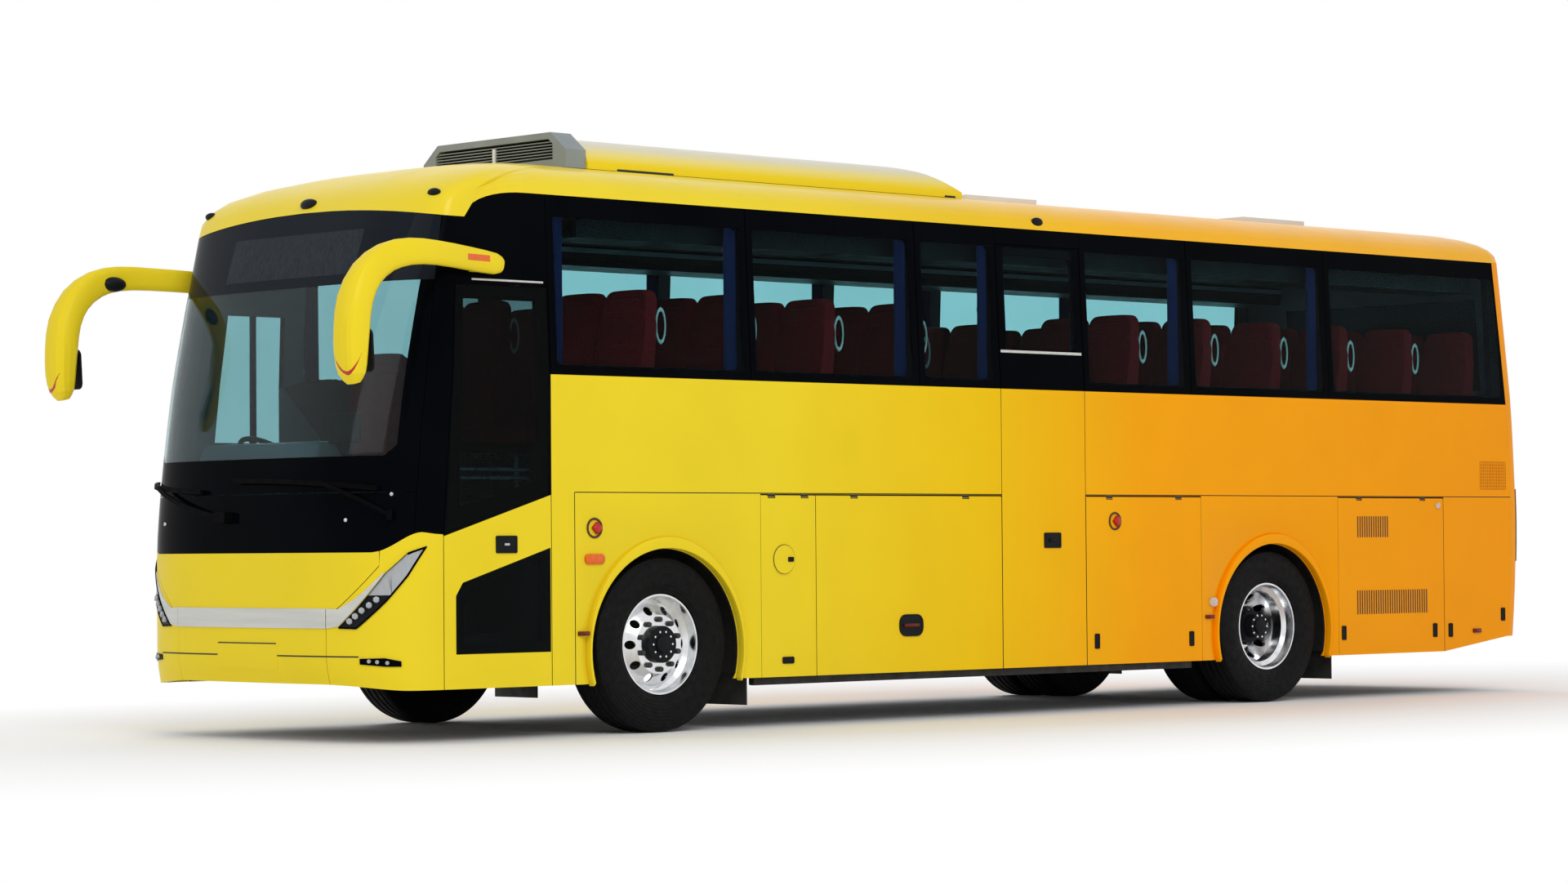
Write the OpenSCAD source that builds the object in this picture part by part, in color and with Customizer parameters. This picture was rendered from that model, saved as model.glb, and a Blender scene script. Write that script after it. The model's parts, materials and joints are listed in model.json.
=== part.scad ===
// Airport passenger bus: a high-floor coach with the driver on the right and two doors on the left.
// Lengths are millimetres. X runs forward, Y to the left, Z up; stations count from the front axle.

/* [Body] */
// Width over the side panels
body_w = 2500; // [2450:10:2550]
// Height of the skirt's lower edge above the road
skirt_z = 305; // [290:5:320]
// Height of the joint above the side flaps
ridge_z = 1420; // [1410:5:1440]
// Height of the window band's lower edge
belt_z = 2100; // [2050:10:2130]
// Height of the roof skin
roof_z = 3405; // [3385:5:3440]
// Roof skin down to the window band's upper edge
band_drop = 260; // [240:5:280]
// Thickness of the walls and the roof
wall_t = 60; // [56:1:66]
// How far the window band leans in at its top
tumble = 50; // [30:5:60]
// Distance between the axles
wheelbase = 5620; // [5560:10:5700]
// Front axle to the nose
front_overhang = 2150; // [2130:10:2180]
// Rear axle to the tail
rear_overhang = 2980; // [2950:10:3020]
// Depth of the round tail corners
tail_corner = 250; // [220:10:280]
// Height of the passenger floor
floor_z = 1380; // [1365:5:1390]
// Height of the driver's platform
platform_z = 1000; // [980:5:1010]

/* [Glass] */
// Thickness of the bonded panes
glass_t = 10; // [8:1:12]
// Thickness of the windscreen
screen_t = 14; // [10:1:18]

/* [Wheels] */
// Radius of the tyres
tyre_r = 522; // [515:1:528]
// Width of a tyre
tyre_w = 295; // [285:1:300]
// Bead seat radius of the rims
bead_r = 286; // [284:1:290]
// Tyre centre planes from the middle of the bus
track_half = 1058; // [1050:1:1062]
// Distance between the twin tyres
twin_gap = 335; // [330:1:345]
// Radius of the wheel arches
arch_r = 600; // [590:5:615]
// Height of the arch centre
arch_z = 490; // [480:5:500]
// Kingpins from the middle of the bus
kingpin_y = 930; // [920:5:935]

/* [Doors] */
// Rear edge of the front doorway
front_door_rear = 900; // [880:5:910]
// Height of the front doorway
front_door_z = 2610; // [2580:5:2640]
// Middle doorway's front edge from the rear axle
mid_door_ahead = 2735; // [2720:5:2750]
// Width of the middle doorway
mid_door_w = 805; // [790:5:820]
// Height of the middle doorway
mid_door_z = 3040; // [3010:5:3050]
// Thickness of the door leaves
door_t = 45; // [40:1:48]
// Length of the door arms
arm_r = 500; // [480:5:510]
// Height of the door arms
arm_z = 1200; // [1180:5:1220]
// Thickness of the side flaps
flap_t = 40; // [34:1:42]
// Gap around doors and flaps
gap = 5; // [5:0.5:7]

/* [Fittings] */
// Pitch of the seat rows on the left
seat_pitch = 745; // [735:1:750]
// Width of one seat
seat_w = 430; // [420:5:435]
// Height of the seat cushions above the floor
seat_h = 440; // [420:5:450]
// Front end of the roof unit
ac_front = 290; // [260:5:300]
// Length of the roof unit's cover
ac_len = 3250; // [3100:10:3300]
// Height of the roof unit above the roof skin
ac_rise = 195; // [175:5:215]
// How far the mirrors reach past the nose
mirror_reach = 400; // [390:5:410]
// Mirror heads from the middle of the bus
mirror_y = 1420; // [1410:5:1430]
// Radius of the towing pin holes
tow_r = 22; // [20:0.5:24]

/* [Hidden] */
$fn = 64;

yellow = "#ecd03a";
orange = "#f7a51c";
black = "#15171a";
grey = "#6d7072";
tint = "#26343a";
seat_red = "#5a1c22";

// The seat clearance between pieces of one body, and the running clearance of pins
seat = 0.5;
edge_gap = 0.8;
run = 0.3;

hw = body_w / 2;
band_z = roof_z - band_drop;
ac_z = roof_z + ac_rise;
nose_x = front_overhang;
tail_x = -wheelbase - rear_overhang;
rear_axle_x = -wheelbase;
// Moves the middle of the whole length, mirrors included, to the origin
front_axle_x = (-tail_x - nose_x - mirror_reach) / 2;

// Nose: the skin leans back over the windscreen and turns over into the roof
lean_z = 1000;
lean = 400;
lean_span = 2000;
lean_n = 1.7;
tuck_z = 520;
tuck = 40;
brow_z = roof_z - 335;
brow_drop = 85;
dome_z = roof_z - 355;
dome_n = 2.4;
crown_x = 300;
corner_low_x = 1700;
corner_low_z = 1170;
corner_slope = 0.0764;
plan_n = 3;
roof_n = 2.5;
dome_round = 300;

// Tail: fullest at bulge height, leaning forward above and tucked in below
bulge_z = 1300;
tail_lean = 130;
tail_tuck = 70;
tail_tuck_span = 1000;
tail_roof = 500;
tail_round = 150;

// Front corner of the window band
band_front = 1060;
band_end = 1500;
band_low = brow_z - brow_drop;
band_slack = 2.5;

// Side panel stations
panel_front = 725;
arch_panel_rear = -755;
filler_rear = -1220;
mid_door_front = rear_axle_x + mid_door_ahead;
mid_door_rear = mid_door_front - mid_door_w;
rear_panel_front = rear_axle_x + 770;
rear_panel_rear = rear_axle_x - 700;
engine_flap_rear = rear_axle_x - 1915;
tail_rise = 95;
right_split = (arch_panel_rear + rear_panel_front) / 2;
groove = 6;
groove_t = 4;

// Glazing
pane_gap = 8;
pane_low = belt_z + 4;
pane_top = band_z - 5;
hole_in = 55;
hole_low = belt_z + 60;
hole_top = band_z - 120;
hole_r = 40;
seam_first = -685;
seam_second = mid_door_front + 740;
pane_stations_left = [
  [seam_first, front_door_rear], [seam_second, seam_first], [mid_door_front, seam_second],
  [rear_axle_x + 855, mid_door_rear], [rear_axle_x - 625, rear_axle_x + 855]
];
pane_stations_right = [
  [seam_first, front_door_rear], [seam_second, seam_first], [mid_door_rear, seam_second],
  [rear_axle_x + 855, mid_door_rear], [rear_axle_x - 625, rear_axle_x + 855]
];
last_pane_front = rear_axle_x - 625;
cab_pane = [front_door_rear + 40, 1480];
cab_pane_low = 1700;
cab_pane_top = 2590;

// Flap hinges: a barrel along the top edge, two knuckles on the wall and a pin
hinge_r = 9;
pin_r = 4;
hinge_z = ridge_z - 20;
hinge_y = hw - hinge_r - 0.5;
flap_open_z = ridge_z - 4;
knuckle_l = 60;
frame_w = 40;
sill_z = skirt_z + 65;

// Door gear
arm_y = hw - 130;
arm_h = 60;
arm_w = 40;
post_r = 25;
eye_r = 26;
door_pin_r = 12;
lug_h = 45;
lug_gap = 3;
post_in = 110;
front_post_x = corner_low_x - 160;
mid_post_x = mid_door_front - post_in;
bracket_t = 30;
mid_post_z = 2600;
door_glass_t = 8;

// Floor, steps and bays
floor_t = 50;
step_t = 40;
floor_y = hw - wall_t - seat;
step_out = hw - 70;
tread = 230;
front_step_z = 400;
front_tread = 270;
front_step_x0 = 950;
front_step_x1 = 1650;
front_rise = (platform_z - front_step_z) / 3;
mid_step_x0 = mid_door_rear + 40;
mid_step_x1 = mid_door_front - 40;
mid_rise = (floor_z - front_step_z) / 4;
floor_front = 700;
floor_rear = rear_axle_x - 2560;
cheek_t = 20;
aisle = hw - 1030;
bay_low = skirt_z + 35;
bay_t = 30;
bay_front = arch_panel_rear - 15;
bay_rear = rear_panel_front + 10;

// Running gear
axle_z = tyre_r;
rail_y = 430;
rail_w = 80;
rail_z = 700;
rail_h = 120;
nose_rail_z = 480;
nose_rail_x = 880;
nose_rail_end = 1840;
post_w = 80;
cross_half = 900;
post_top = floor_z - floor_t;
housing_r = arch_r + 60;
housing_t = 12;
housing_y = 520;
flap_mud_t = 10;
bellows_r = 110;
beam_z = 400;
beam_h = 100;
beam_x = 55;
eye_boss_r = 60;
kingpin_r = 25;
eye_low = axle_z - 82;
eye_high = axle_z + 78;
fork_t = 40;
fork_gap = 5;
spindle_r = 50;
rear_spindle_r = 60;
hub_r = 110;
tow_x = 1990;
tow_half = 60;
tow_t = 40;
tow_edge = 25;
rear_tow_x = rear_axle_x - 2440;
rear_tow_z = 320;

// Roof unit
ac_half = 700;
ac_slope = 550;
ac_frame = 160;
ac_n = 3;

function lerp(a, b, t) = a + (b - a) * t;
function smooth(t) = let(c = min(1, max(0, t))) c * c * (3 - 2 * c);

// Skin of the body: half width, nose and tail at a height, with an inset t
function rise(z, low, t) = min(1, max(0, (z - low) / (roof_z - t - low)));
function wall_line(z) = z <= belt_z ? hw : hw - tumble * (z - belt_z) / (band_z - belt_z);
function half_w(z, t) = (wall_line(z) - t) * pow(1 - pow(rise(z, band_z, t), roof_n), 1 / roof_n);
function lean_line(z) =
  z < tuck_z ? nose_x - tuck * pow((tuck_z - z) / (tuck_z - skirt_z), 2) :
  z < lean_z ? nose_x : nose_x - lean * pow((z - lean_z) / lean_span, lean_n);
function nose(z, t) =
  let(c = crown_x - t) c + (lean_line(z) - t - c) * pow(1 - pow(rise(z, dome_z, t), dome_n), 1 / dome_n);
function corner_line(z) = corner_low_x - corner_slope * max(0, z - corner_low_z);
function corner_x(z, t) =
  z <= dome_z ? corner_line(z) :
  nose(z, t) - (lean_line(dome_z) - corner_line(dome_z) - t) - dome_round * pow(rise(z, dome_z, t), 2);
function tail_line(z) =
  tail_x + tail_lean * pow(max(0, z - bulge_z) / (band_z - bulge_z), 1.3)
  + tail_tuck * pow(max(0, bulge_z - z) / tail_tuck_span, 2);
function tail(z, t) =
  tail_line(z) + t + tail_roof * (1 - pow(1 - pow(rise(z, band_z, t), dome_n), 1 / dome_n));
function tail_in(z, t) = tail(z, t) + tail_corner - t + tail_round * pow(rise(z, band_z, t), 2);

// A point of the skin: front corner angle a from -90 (right) to 90 (left), and the same at the tail
function plan(v) = sign(v) * pow(abs(v), 2 / plan_n);
function nose_pt(a, z, t) =
  [corner_x(z, t) + (nose(z, t) - corner_x(z, t)) * plan(cos(a)), half_w(z, t) * plan(sin(a)), z];
function tail_pt(a, z, t) =
  [tail_in(z, t) - (tail_in(z, t) - tail(z, t)) * plan(cos(a)), half_w(z, t) * plan(sin(a)), z];
function angle_at(y) = sign(y) * asin(pow(abs(y) / hw, plan_n / 2));

// Upper edge of the window band along the side, and of the windscreen across the front
function band_edge(x) =
  x <= band_front ? band_z :
  x >= band_end ? band_low :
  band_low + (band_z - band_low) * sqrt(1 - pow((x - band_front) / (band_end - band_front), 2));
function brow_edge(a) = brow_z - brow_drop * pow(abs(plan(sin(a))), 2);

// Lower and upper edges of the yellow mask, by the corner angle
function mask_low(a) = lerp(skirt_z + 30, skirt_z, smooth((abs(a) - 20) / 50));
function mask_top(a) =
  abs(a) < 80 ? 1080 + 112 * smooth((abs(a) - 48) / 32) : 1192 - 14 * (abs(a) - 80) / 10;

// A curved panel from columns [angle, low z, high z, outer inset, inner inset]
module panel(cols, rows, at_tail = false) {
  n = len(cols);
  m = rows + 1;
  outer = [for (c = cols) for (i = [0 : rows])
    let(z = lerp(c[1], c[2], i / rows)) at_tail ? tail_pt(c[0], z, c[3]) : nose_pt(c[0], z, c[3])];
  inner = [for (c = cols) for (i = [0 : rows])
    let(z = lerp(c[1], c[2], i / rows)) at_tail ? tail_pt(c[0], z, c[4]) : nose_pt(c[0], z, c[4])];
  k = n * m;
  skin = [for (j = [0 : n - 2]) for (i = [0 : rows - 1])
    let(a = j * m + i) each [[a, a + 1, a + m], [a + 1, a + m + 1, a + m]]];
  back = [for (f = skin) [f[0] + k, f[2] + k, f[1] + k]];
  ends = [for (i = [0 : rows - 1]) each [
    [i, i + k, i + 1], [i + 1, i + k, i + 1 + k],
    [(n - 1) * m + i, (n - 1) * m + i + 1, (n - 1) * m + i + k],
    [(n - 1) * m + i + 1, (n - 1) * m + i + 1 + k, (n - 1) * m + i + k]]];
  edges = [for (j = [0 : n - 2]) let(a = j * m, b = a + m, c = a + rows, d = b + rows) each [
    [a, b, a + k], [b, b + k, a + k],
    [c, c + k, d], [d, c + k, d + k]]];
  faces = concat(skin, back, ends, edges);
  turned = at_tail ? [for (f = faces) [f[0], f[2], f[1]]] : faces;
  polyhedron(concat(outer, inner), turned);
}
function spread(a, b, n) = [for (i = [0 : n]) lerp(a, b, i / n)];

module place() { translate([front_axle_x, 0, 0]) children(); }
module both() { children(); mirror([0, 1, 0]) children(); }
module along_x(x0, x1) { translate([x0, 0, 0]) rotate([90, 0, 90]) linear_extrude(x1 - x0) children(); }
module along_y(y0, y1) { translate([0, y1, 0]) rotate([90, 0, 0]) linear_extrude(y1 - y0) children(); }
module block(low, high) { translate(low) cube(high - low); }
module rod_x(x0, x1, y, z, r) { translate([x0, y, z]) rotate([0, 90, 0]) cylinder(h = x1 - x0, r = r); }
module rod_y(x, y0, y1, z, r) { translate([x, y1, z]) rotate([90, 0, 0]) cylinder(h = y1 - y0, r = r); }
module rod_z(x, y, z0, z1, r) { translate([x, y, z0]) cylinder(h = z1 - z0, r = r); }

// A slab of the left wall between two insets, following the lean of the window band
module wall_slab(x0, x1, t0, t1, z0, z1) {
  bend = z0 < belt_z && z1 > belt_z;
  along_x(x0, x1) polygon(concat(
    [[wall_line(z0) - t0, z0]], bend ? [[hw - t0, belt_z]] : [], [[wall_line(z1) - t0, z1]],
    [[wall_line(z1) - t1, z1]], bend ? [[hw - t1, belt_z]] : [], [[wall_line(z0) - t1, z0]]));
}
module round_hole(x0, x1, z0, z1, r) {
  translate([x0 + r, z0]) square([x1 - x0 - 2 * r, z1 - z0]);
  translate([x0, z0 + r]) square([x1 - x0, z1 - z0 - 2 * r]);
  for (x = [x0 + r, x1 - r], z = [z0 + r, z1 - r]) translate([x, z]) circle(r);
}
rear_low = skirt_z + tail_rise;
rear_top = band_z - seat;
rear_rows = 14;
function tail_edge(z) = tail_in(z, 0) + seat;

// Outline of a side wall, with or without the front doorway
module wall_outline(doorway) {
  front = [for (x = band_stations)
    let(f = (x - band_front) / (band_end - band_front))
    [x - 4 * f, band_edge(x) - seat - (f > 0 ? band_slack : 0)]];
  low = doorway ?
    [[front_door_rear, skirt_z], [front_door_rear, front_door_z],
     [corner_line(front_door_z) - edge_gap, front_door_z]] :
    [[corner_low_x - edge_gap, skirt_z], [corner_low_x - edge_gap, corner_low_z]];
  polygon(concat(
    [[engine_flap_rear, skirt_z]], low,
    [[corner_line(band_low) - edge_gap, band_low - seat]], front,
    [for (i = [rear_rows : -1 : 0]) let(z = lerp(rear_low, rear_top, i / rear_rows)) [tail_edge(z), z]]));
}

// Openings that a wall needs for a flap, and the knuckles that carry it
module flap_opening(x0, x1) {
  block([x0, hw - flap_t - 1, skirt_z - 1], [x1, hw + 1, flap_open_z]);
  block([x0 + frame_w, hw - wall_t - 1, sill_z], [x1 - frame_w, hw, flap_open_z - frame_w]);
}
function knuckle_mid(x0, x1) = [lerp(x0, x1, 0.2), lerp(x0, x1, 0.8)];
module flap_knuckles(x0, x1) {
  for (x = knuckle_mid(x0, x1)) difference() {
    union() {
      rod_x(x - knuckle_l / 2, x + knuckle_l / 2, hinge_y, hinge_z, hinge_r);
      block([x - knuckle_l / 2, hinge_y - hinge_r, hinge_z],
            [x + knuckle_l / 2, hinge_y + hinge_r, flap_open_z + 1]);
    }
    rod_x(x - knuckle_l, x + knuckle_l, hinge_y, hinge_z, pin_r + run);
  }
}
module flap(x0, x1) {
  ends = knuckle_mid(x0, x1);
  difference() {
    union() {
      block([x0 + gap / 2, hw - flap_t, skirt_z], [x1 - gap / 2, hw, hinge_z]);
      rod_x(x0 + gap / 2, x1 - gap / 2, hinge_y, hinge_z, hinge_r);
    }
    for (x = ends) rod_x(x - knuckle_l / 2 - 2, x + knuckle_l / 2 + 2, hinge_y, hinge_z, hinge_r + 5);
  }
  for (x = ends) rod_x(x - knuckle_l / 2 - 3, x + knuckle_l / 2 + 3, hinge_y, hinge_z, pin_r);
}

module pane(x0, x1, z0, z1, t0, t1) {
  wall_slab(x0 + pane_gap / 2, x1 - pane_gap / 2, t0, t1, z0, z1);
}
module last_pane(t0, t1, edge) {
  intersection() {
    wall_slab(tail_x, last_pane_front - edge, t0, t1, pane_low, pane_top);
    along_y(0, 2 * hw) polygon([
      [last_pane_front, pane_low], [last_pane_front, pane_top],
      [tail_edge(pane_top) + edge, pane_top], [tail_edge(pane_low) + edge, pane_low]]);
  }
}
module window_hole(x0, x1) {
  along_y(hw - tumble - wall_t - 20, hw + 1)
    round_hole(x0 + hole_in, x1 - hole_in, hole_low, hole_top, hole_r);
}

// One side wall, without its openings
module wall_body(doorway, panes, flaps) {
  difference() {
    intersection() {
      wall_slab(tail_x, corner_low_x, 0, wall_t, skirt_z, band_z);
      along_y(0, 2 * hw) wall_outline(doorway);
    }
    for (p = panes) {
      pane(p[0] - pane_gap / 2, p[1] + pane_gap / 2, pane_low - 2, pane_top + 2, -1, glass_t + seat);
      window_hole(p[0], p[1]);
    }
    last_pane(-1, glass_t + seat, 2);
    window_hole(tail_edge(band_z) + 10, last_pane_front);
    for (x = [0, rear_axle_x]) {
      rod_y(x, hw - wall_t - 1, hw + 1, arch_z, arch_r);
      translate([x, hw + 0.1, arch_z]) rotate([90, 0, 0]) cylinder(h = 45, r1 = arch_r + 90, r2 = arch_r - 1);
    }
    for (f = flaps) flap_opening(f[0], f[1]);
    wall_slab(tail_x, panel_front, -1, groove_t, ridge_z - groove / 2, ridge_z + groove / 2);
    for (x = [panel_front, engine_flap_rear])
      wall_slab(x - groove / 2, x + groove / 2, -1, groove_t, skirt_z - 1, ridge_z);
  }
  for (f = flaps) flap_knuckles(f[0], f[1]);
}
flaps_left = [
  [filler_rear, arch_panel_rear], [mid_door_front, filler_rear], [rear_panel_front, mid_door_rear],
  [engine_flap_rear, rear_panel_rear]
];
flaps_right = [
  [right_split, arch_panel_rear], [rear_panel_front, right_split], [engine_flap_rear, rear_panel_rear]
];

module side_wall_left() {
  color(yellow) {
    difference() {
      wall_body(true, pane_stations_left, flaps_left);
      wall_slab(mid_door_rear, mid_door_front, -1, wall_t + 1, skirt_z - 1, mid_door_z);
    }
    post_bracket(front_post_x, front_door_z);
    block([mid_post_x - 40, arm_y - 40, mid_post_z],
          [mid_door_front + 40, arm_y + 30, mid_post_z + bracket_t]);
    block([mid_door_front + 2, arm_y, mid_post_z],
          [mid_door_front + 40, wall_line(mid_post_z) - wall_t + 15, mid_post_z + bracket_t]);
  }
}
module post_bracket(x, z) {
  block([x - 40, arm_y - 40, z], [x + 40, wall_line(z + bracket_t) - wall_t + 20, z + bracket_t]);
}
module side_wall_right() {
  color(yellow) mirror([0, 1, 0]) difference() {
    wall_body(false, pane_stations_right, flaps_right);
    cab_window(-1, glass_t + seat, 0);
    along_y(hw - tumble - wall_t - 20, hw + 1) cab_outline(hole_in);
  }
}
module cab_outline(edge) {
  polygon([
    [cab_pane[0] + edge, cab_pane_low + edge], [cab_pane[1] + 90 - edge, cab_pane_low + edge],
    [cab_pane[1] - edge, cab_pane_top - edge], [cab_pane[0] + edge, cab_pane_top - edge]]);
}
module cab_window(t0, t1, edge) {
  intersection() {
    wall_slab(cab_pane[0], corner_low_x, t0, t1, cab_pane_low, cab_pane_top);
    along_y(0, 2 * hw) cab_outline(edge);
  }
}
module side_glass() {
  color(tint, 0.5) {
    for (p = pane_stations_left) pane(p[0], p[1], pane_low, pane_top, 0, glass_t);
    last_pane(0, glass_t, pane_gap / 2);
    mirror([0, 1, 0]) {
      for (p = pane_stations_right) pane(p[0], p[1], pane_low, pane_top, 0, glass_t);
      last_pane(0, glass_t, pane_gap / 2);
      cab_window(0, glass_t, pane_gap / 2);
    }
  }
}

// Roof: rings of columns round the body, from its lower edge up to a flat crown
band_steps = 8;
band_stations = [for (i = [0 : band_steps]) lerp(band_end, band_front, i / band_steps)];
roof_sides = concat(
  [tail_in(band_z, 0), -wheelbase, -wheelbase / 3],
  [for (i = [band_steps : -1 : 0]) band_stations[i]]);
function side_part(x) =
  let(z = band_edge(x)) (x - tail_in(z, 0)) / (corner_x(z, 0) - tail_in(z, 0));
roof_front = spread(90, -90, 30);
roof_back = spread(-90, 90, 14);
roof_levels = [0, 8, 17, 27, 38, 50, 63, 76];
function side_pt(f, s, z, t) = [lerp(tail_in(z, t), corner_x(z, t), f), s * half_w(z, t), z];
function level(k) = pow(sin(roof_levels[k]), 2 / roof_n);
roof_last = len(roof_levels) - 1;
function crown(t) = band_z + level(roof_last) * (roof_z - t - band_z);
function roof_height(low, k, t) = lerp(low, crown(t), level(k) / level(roof_last));
function roof_ring(k, t) = concat(
  [for (x = roof_sides) side_pt(side_part(x), 1, roof_height(band_edge(x), k, t), t)],
  [for (a = roof_front) nose_pt(a, roof_height(brow_edge(a), k, t), t)],
  [for (i = [len(roof_sides) - 1 : -1 : 0])
    let(x = roof_sides[i]) side_pt(side_part(x), -1, roof_height(band_edge(x), k, t), t)],
  [for (i = [1 : len(roof_back) - 2]) tail_pt(roof_back[i], roof_height(band_z, k, t), t)]);
module roof_body() {
  outer = [for (k = [0 : len(roof_levels) - 1]) roof_ring(k, 0)];
  inner = [for (k = [0 : len(roof_levels) - 1]) roof_ring(k, wall_t)];
  n = len(outer[0]);
  m = len(roof_levels);
  points = concat([for (r = outer) each r], [for (r = inner) each r]);
  bands = [for (k = [0 : m - 2]) for (j = [0 : n - 1])
    let(a = k * n + j, b = k * n + (j + 1) % n) each [[a, a + n, b], [b, a + n, b + n]]];
  back = [for (f = bands) [f[0] + m * n, f[2] + m * n, f[1] + m * n]];
  rim = [for (j = [0 : n - 1])
    let(a = j, b = (j + 1) % n) each [[a, b, a + m * n], [b, b + m * n, a + m * n]]];
  top = (m - 1) * n;
  sides = len(roof_sides);
  arc = len(roof_front);
  bow = len(roof_back) - 2;
  back_at = 2 * sides + arc;
  left = concat([for (i = [(bow - 1) / 2 : bow - 1]) back_at + i], [for (i = [0 : sides + (arc - 1) / 2]) i]);
  right = [for (i = left) i < back_at ? back_at - 1 - i : 2 * back_at + bow - 1 - i];
  cap = [for (i = [0 : len(left) - 2])
    let(a = left[i], b = left[i + 1], c = right[i], d = right[i + 1])
    each concat(a == c ? [] : [[a, b, c]], b == d ? [] : [[b, d, c]])];
  crown_faces = [for (f = cap) [top + f[0], top + f[1], top + f[2]]];
  ceiling = [for (f = cap) [m * n + top + f[0], m * n + top + f[2], m * n + top + f[1]]];
  polyhedron(points, concat([for (f = concat(bands, back, rim)) [f[2], f[1], f[0]]], crown_faces, ceiling));
}
module roof_shell() {
  color(yellow) difference() {
    roof_body();
    for (x = [hatch_front_x, hatch_rear_x])
      block([x - hatch_l + 60, -hatch_half + 40, roof_z - wall_t - 100],
            [x - 60, hatch_half - 40, roof_z + 10]);
  }
}

// Front: mask of four panels, cowl, pillars, windscreen, trim, lamps and wipers
seam_a = angle_at(716);
hatch_a = 53;
seam_gap = 3;
mask_t = 40;
cowl_top = 1420;
hatch_cols = spread(-hatch_a, hatch_a, 26);
side_cols = spread(hatch_a + 0.4, 90, 14);
screen_cols = [for (i = [0 : 8]) side_cols[i]];
screen_a = screen_cols[8];
front_cols = concat([for (i = [8 : -1 : 0]) -screen_cols[i]], hatch_cols, screen_cols);
function seam_z(a) = 708 + 297 * max(0, (abs(a) - seam_a) / (hatch_a - seam_a));
module front_mask() {
  color(yellow) {
    panel([for (a = spread(-seam_a + 0.1, seam_a - 0.1, 14))
      [a, mask_low(a), seam_z(a) - seam_gap, 0, mask_t]], 8);
    panel([for (a = hatch_cols)
      [a, seam_z(a) + seam_gap, mask_top(a), 0, mask_t]], 5);
    both() panel(concat(
      [for (a = spread(seam_a + 0.1, hatch_a, 10)) [a, mask_low(a), seam_z(a) - seam_gap, 0, mask_t]],
      [for (a = side_cols) [a, mask_low(a), mask_top(a), 0, mask_t]]), 10);
  }
}
module cowl_panel() {
  color(black) panel([for (a = front_cols)
    [a, mask_top(a) + seat, cowl_top - 2, 0, mask_t]], 4);
}
module pillars() {
  color(black) both() panel(concat(
    [for (a = spread(screen_a - 8, screen_a + 0.2, 2))
      [a, cowl_top + seat, brow_edge(a) - seat, screen_t + seat, wall_t]],
    [for (i = [8 : 14]) let(f = i == 8 ? 0.15 : 0, a = lerp(side_cols[i], side_cols[min(14, i + 1)], f),
      z = lerp(mask_top(side_cols[i]), mask_top(side_cols[min(14, i + 1)]), f))
      [a, z + seat, brow_edge(a) - seat, 0, wall_t]]), 14);
}
module windscreen() {
  color(tint, 0.5) panel([for (a = spread(-screen_a, screen_a, 36))
    [a, cowl_top + 1, brow_edge(a) - 4, 0, screen_t]], 14);
}
// Overlays stand proud of the mask by their thickness
overlay = 6;
lamp_steps = [[31.5, 652, 660], [40.5, 649, 766], [57, 800, 969], [70.8, 945, 1080], [82.6, 1106, 1114]];
wing_steps = [[25.8, 652, 765], [31.5, 664, 762], [40.5, 772, 826], [56, 962, 972]];
function along(steps, n) = [for (i = [0 : len(steps) - 2]) for (j = [0 : n - 1])
  lerp(steps[i], steps[i + 1], j / n)];
module overlay_panel(steps, t) {
  panel([for (s = concat(along(steps, 4), [steps[len(steps) - 1]])) [s[0], s[1], s[2], -t, -seat]], 2);
}
module front_trim() {
  color("silver") {
    panel([for (a = spread(-25.5, 25.5, 14)) [a, 652, 765, -overlay, -seat]], 1);
    both() overlay_panel(wing_steps, overlay);
  }
}
fog_steps = [[42, 452, 484], [56, 440, 488], [66, 440, 470]];
module headlamps() {
  color("lightgrey") both() {
    overlay_panel(lamp_steps, overlay);
    overlay_panel(fog_steps, overlay);
  }
}
wiper_steps = [[[-70, 1500], [-12, 1440], [-4, 1290]], [[-2, 1500], [50, 1440], [58, 1290]]];
module wipers() {
  color(black) for (w = wiper_steps) {
    panel([for (a = spread(w[0][0], w[1][0], 10))
      let(z = lerp(w[0][1], w[1][1], (a - w[0][0]) / (w[1][0] - w[0][0]))) [a, z - 14, z + 14, -38, -20]], 1);
    panel([for (a = spread((w[0][0] + w[1][0]) / 2, w[2][0], 6))
      let(f = (a - (w[0][0] + w[1][0]) / 2) / (w[2][0] - (w[0][0] + w[1][0]) / 2),
          z = lerp((w[0][1] + w[1][1]) / 2, w[2][1], f)) [a, z - 12, z + 12, -52, -36]], 1);
    panel([for (a = spread(w[2][0] - 1.5, w[2][0] + 1.5, 2)) [a, w[2][1] - 30, w[2][1] + 30, -54, -seat]], 2);
  }
}

// Rear: wall with its window and lid openings, glass, lid and lamps
rear_steps = concat(spread(-90, -30, 10), spread(-24, 24, 8), spread(30, 90, 10));
lid_half = 930;
lid_low = 500;
lid_top = 1560;
rear_hole = [900, 2220, 2900];
module rear_wall() {
  color(orange) difference() {
    panel([for (a = rear_steps) [a, rear_low, rear_top, 0, mask_t]], rear_rows, true);
    block([tail_x - 10, -rear_hole[0], rear_hole[1]], [tail_x + 900, rear_hole[0], rear_hole[2]]);
    block([tail_x - 10, -lid_half - gap, lid_low - gap], [tail_x + 900, lid_half + gap, lid_hole_z]);
  }
  color(orange) for (y = lid_knuckles) difference() {
    union() {
      rod_y(lid_hinge_x, y - knuckle_l / 2, y + knuckle_l / 2, lid_top, hinge_r);
      block([lid_hinge_x - hinge_r, y - knuckle_l / 2, lid_top],
            [lid_hinge_x + hinge_r, y + knuckle_l / 2, lid_hole_z + 2]);
    }
    rod_y(lid_hinge_x, y - knuckle_l, y + knuckle_l, lid_top, pin_r + run);
  }
}
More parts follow.
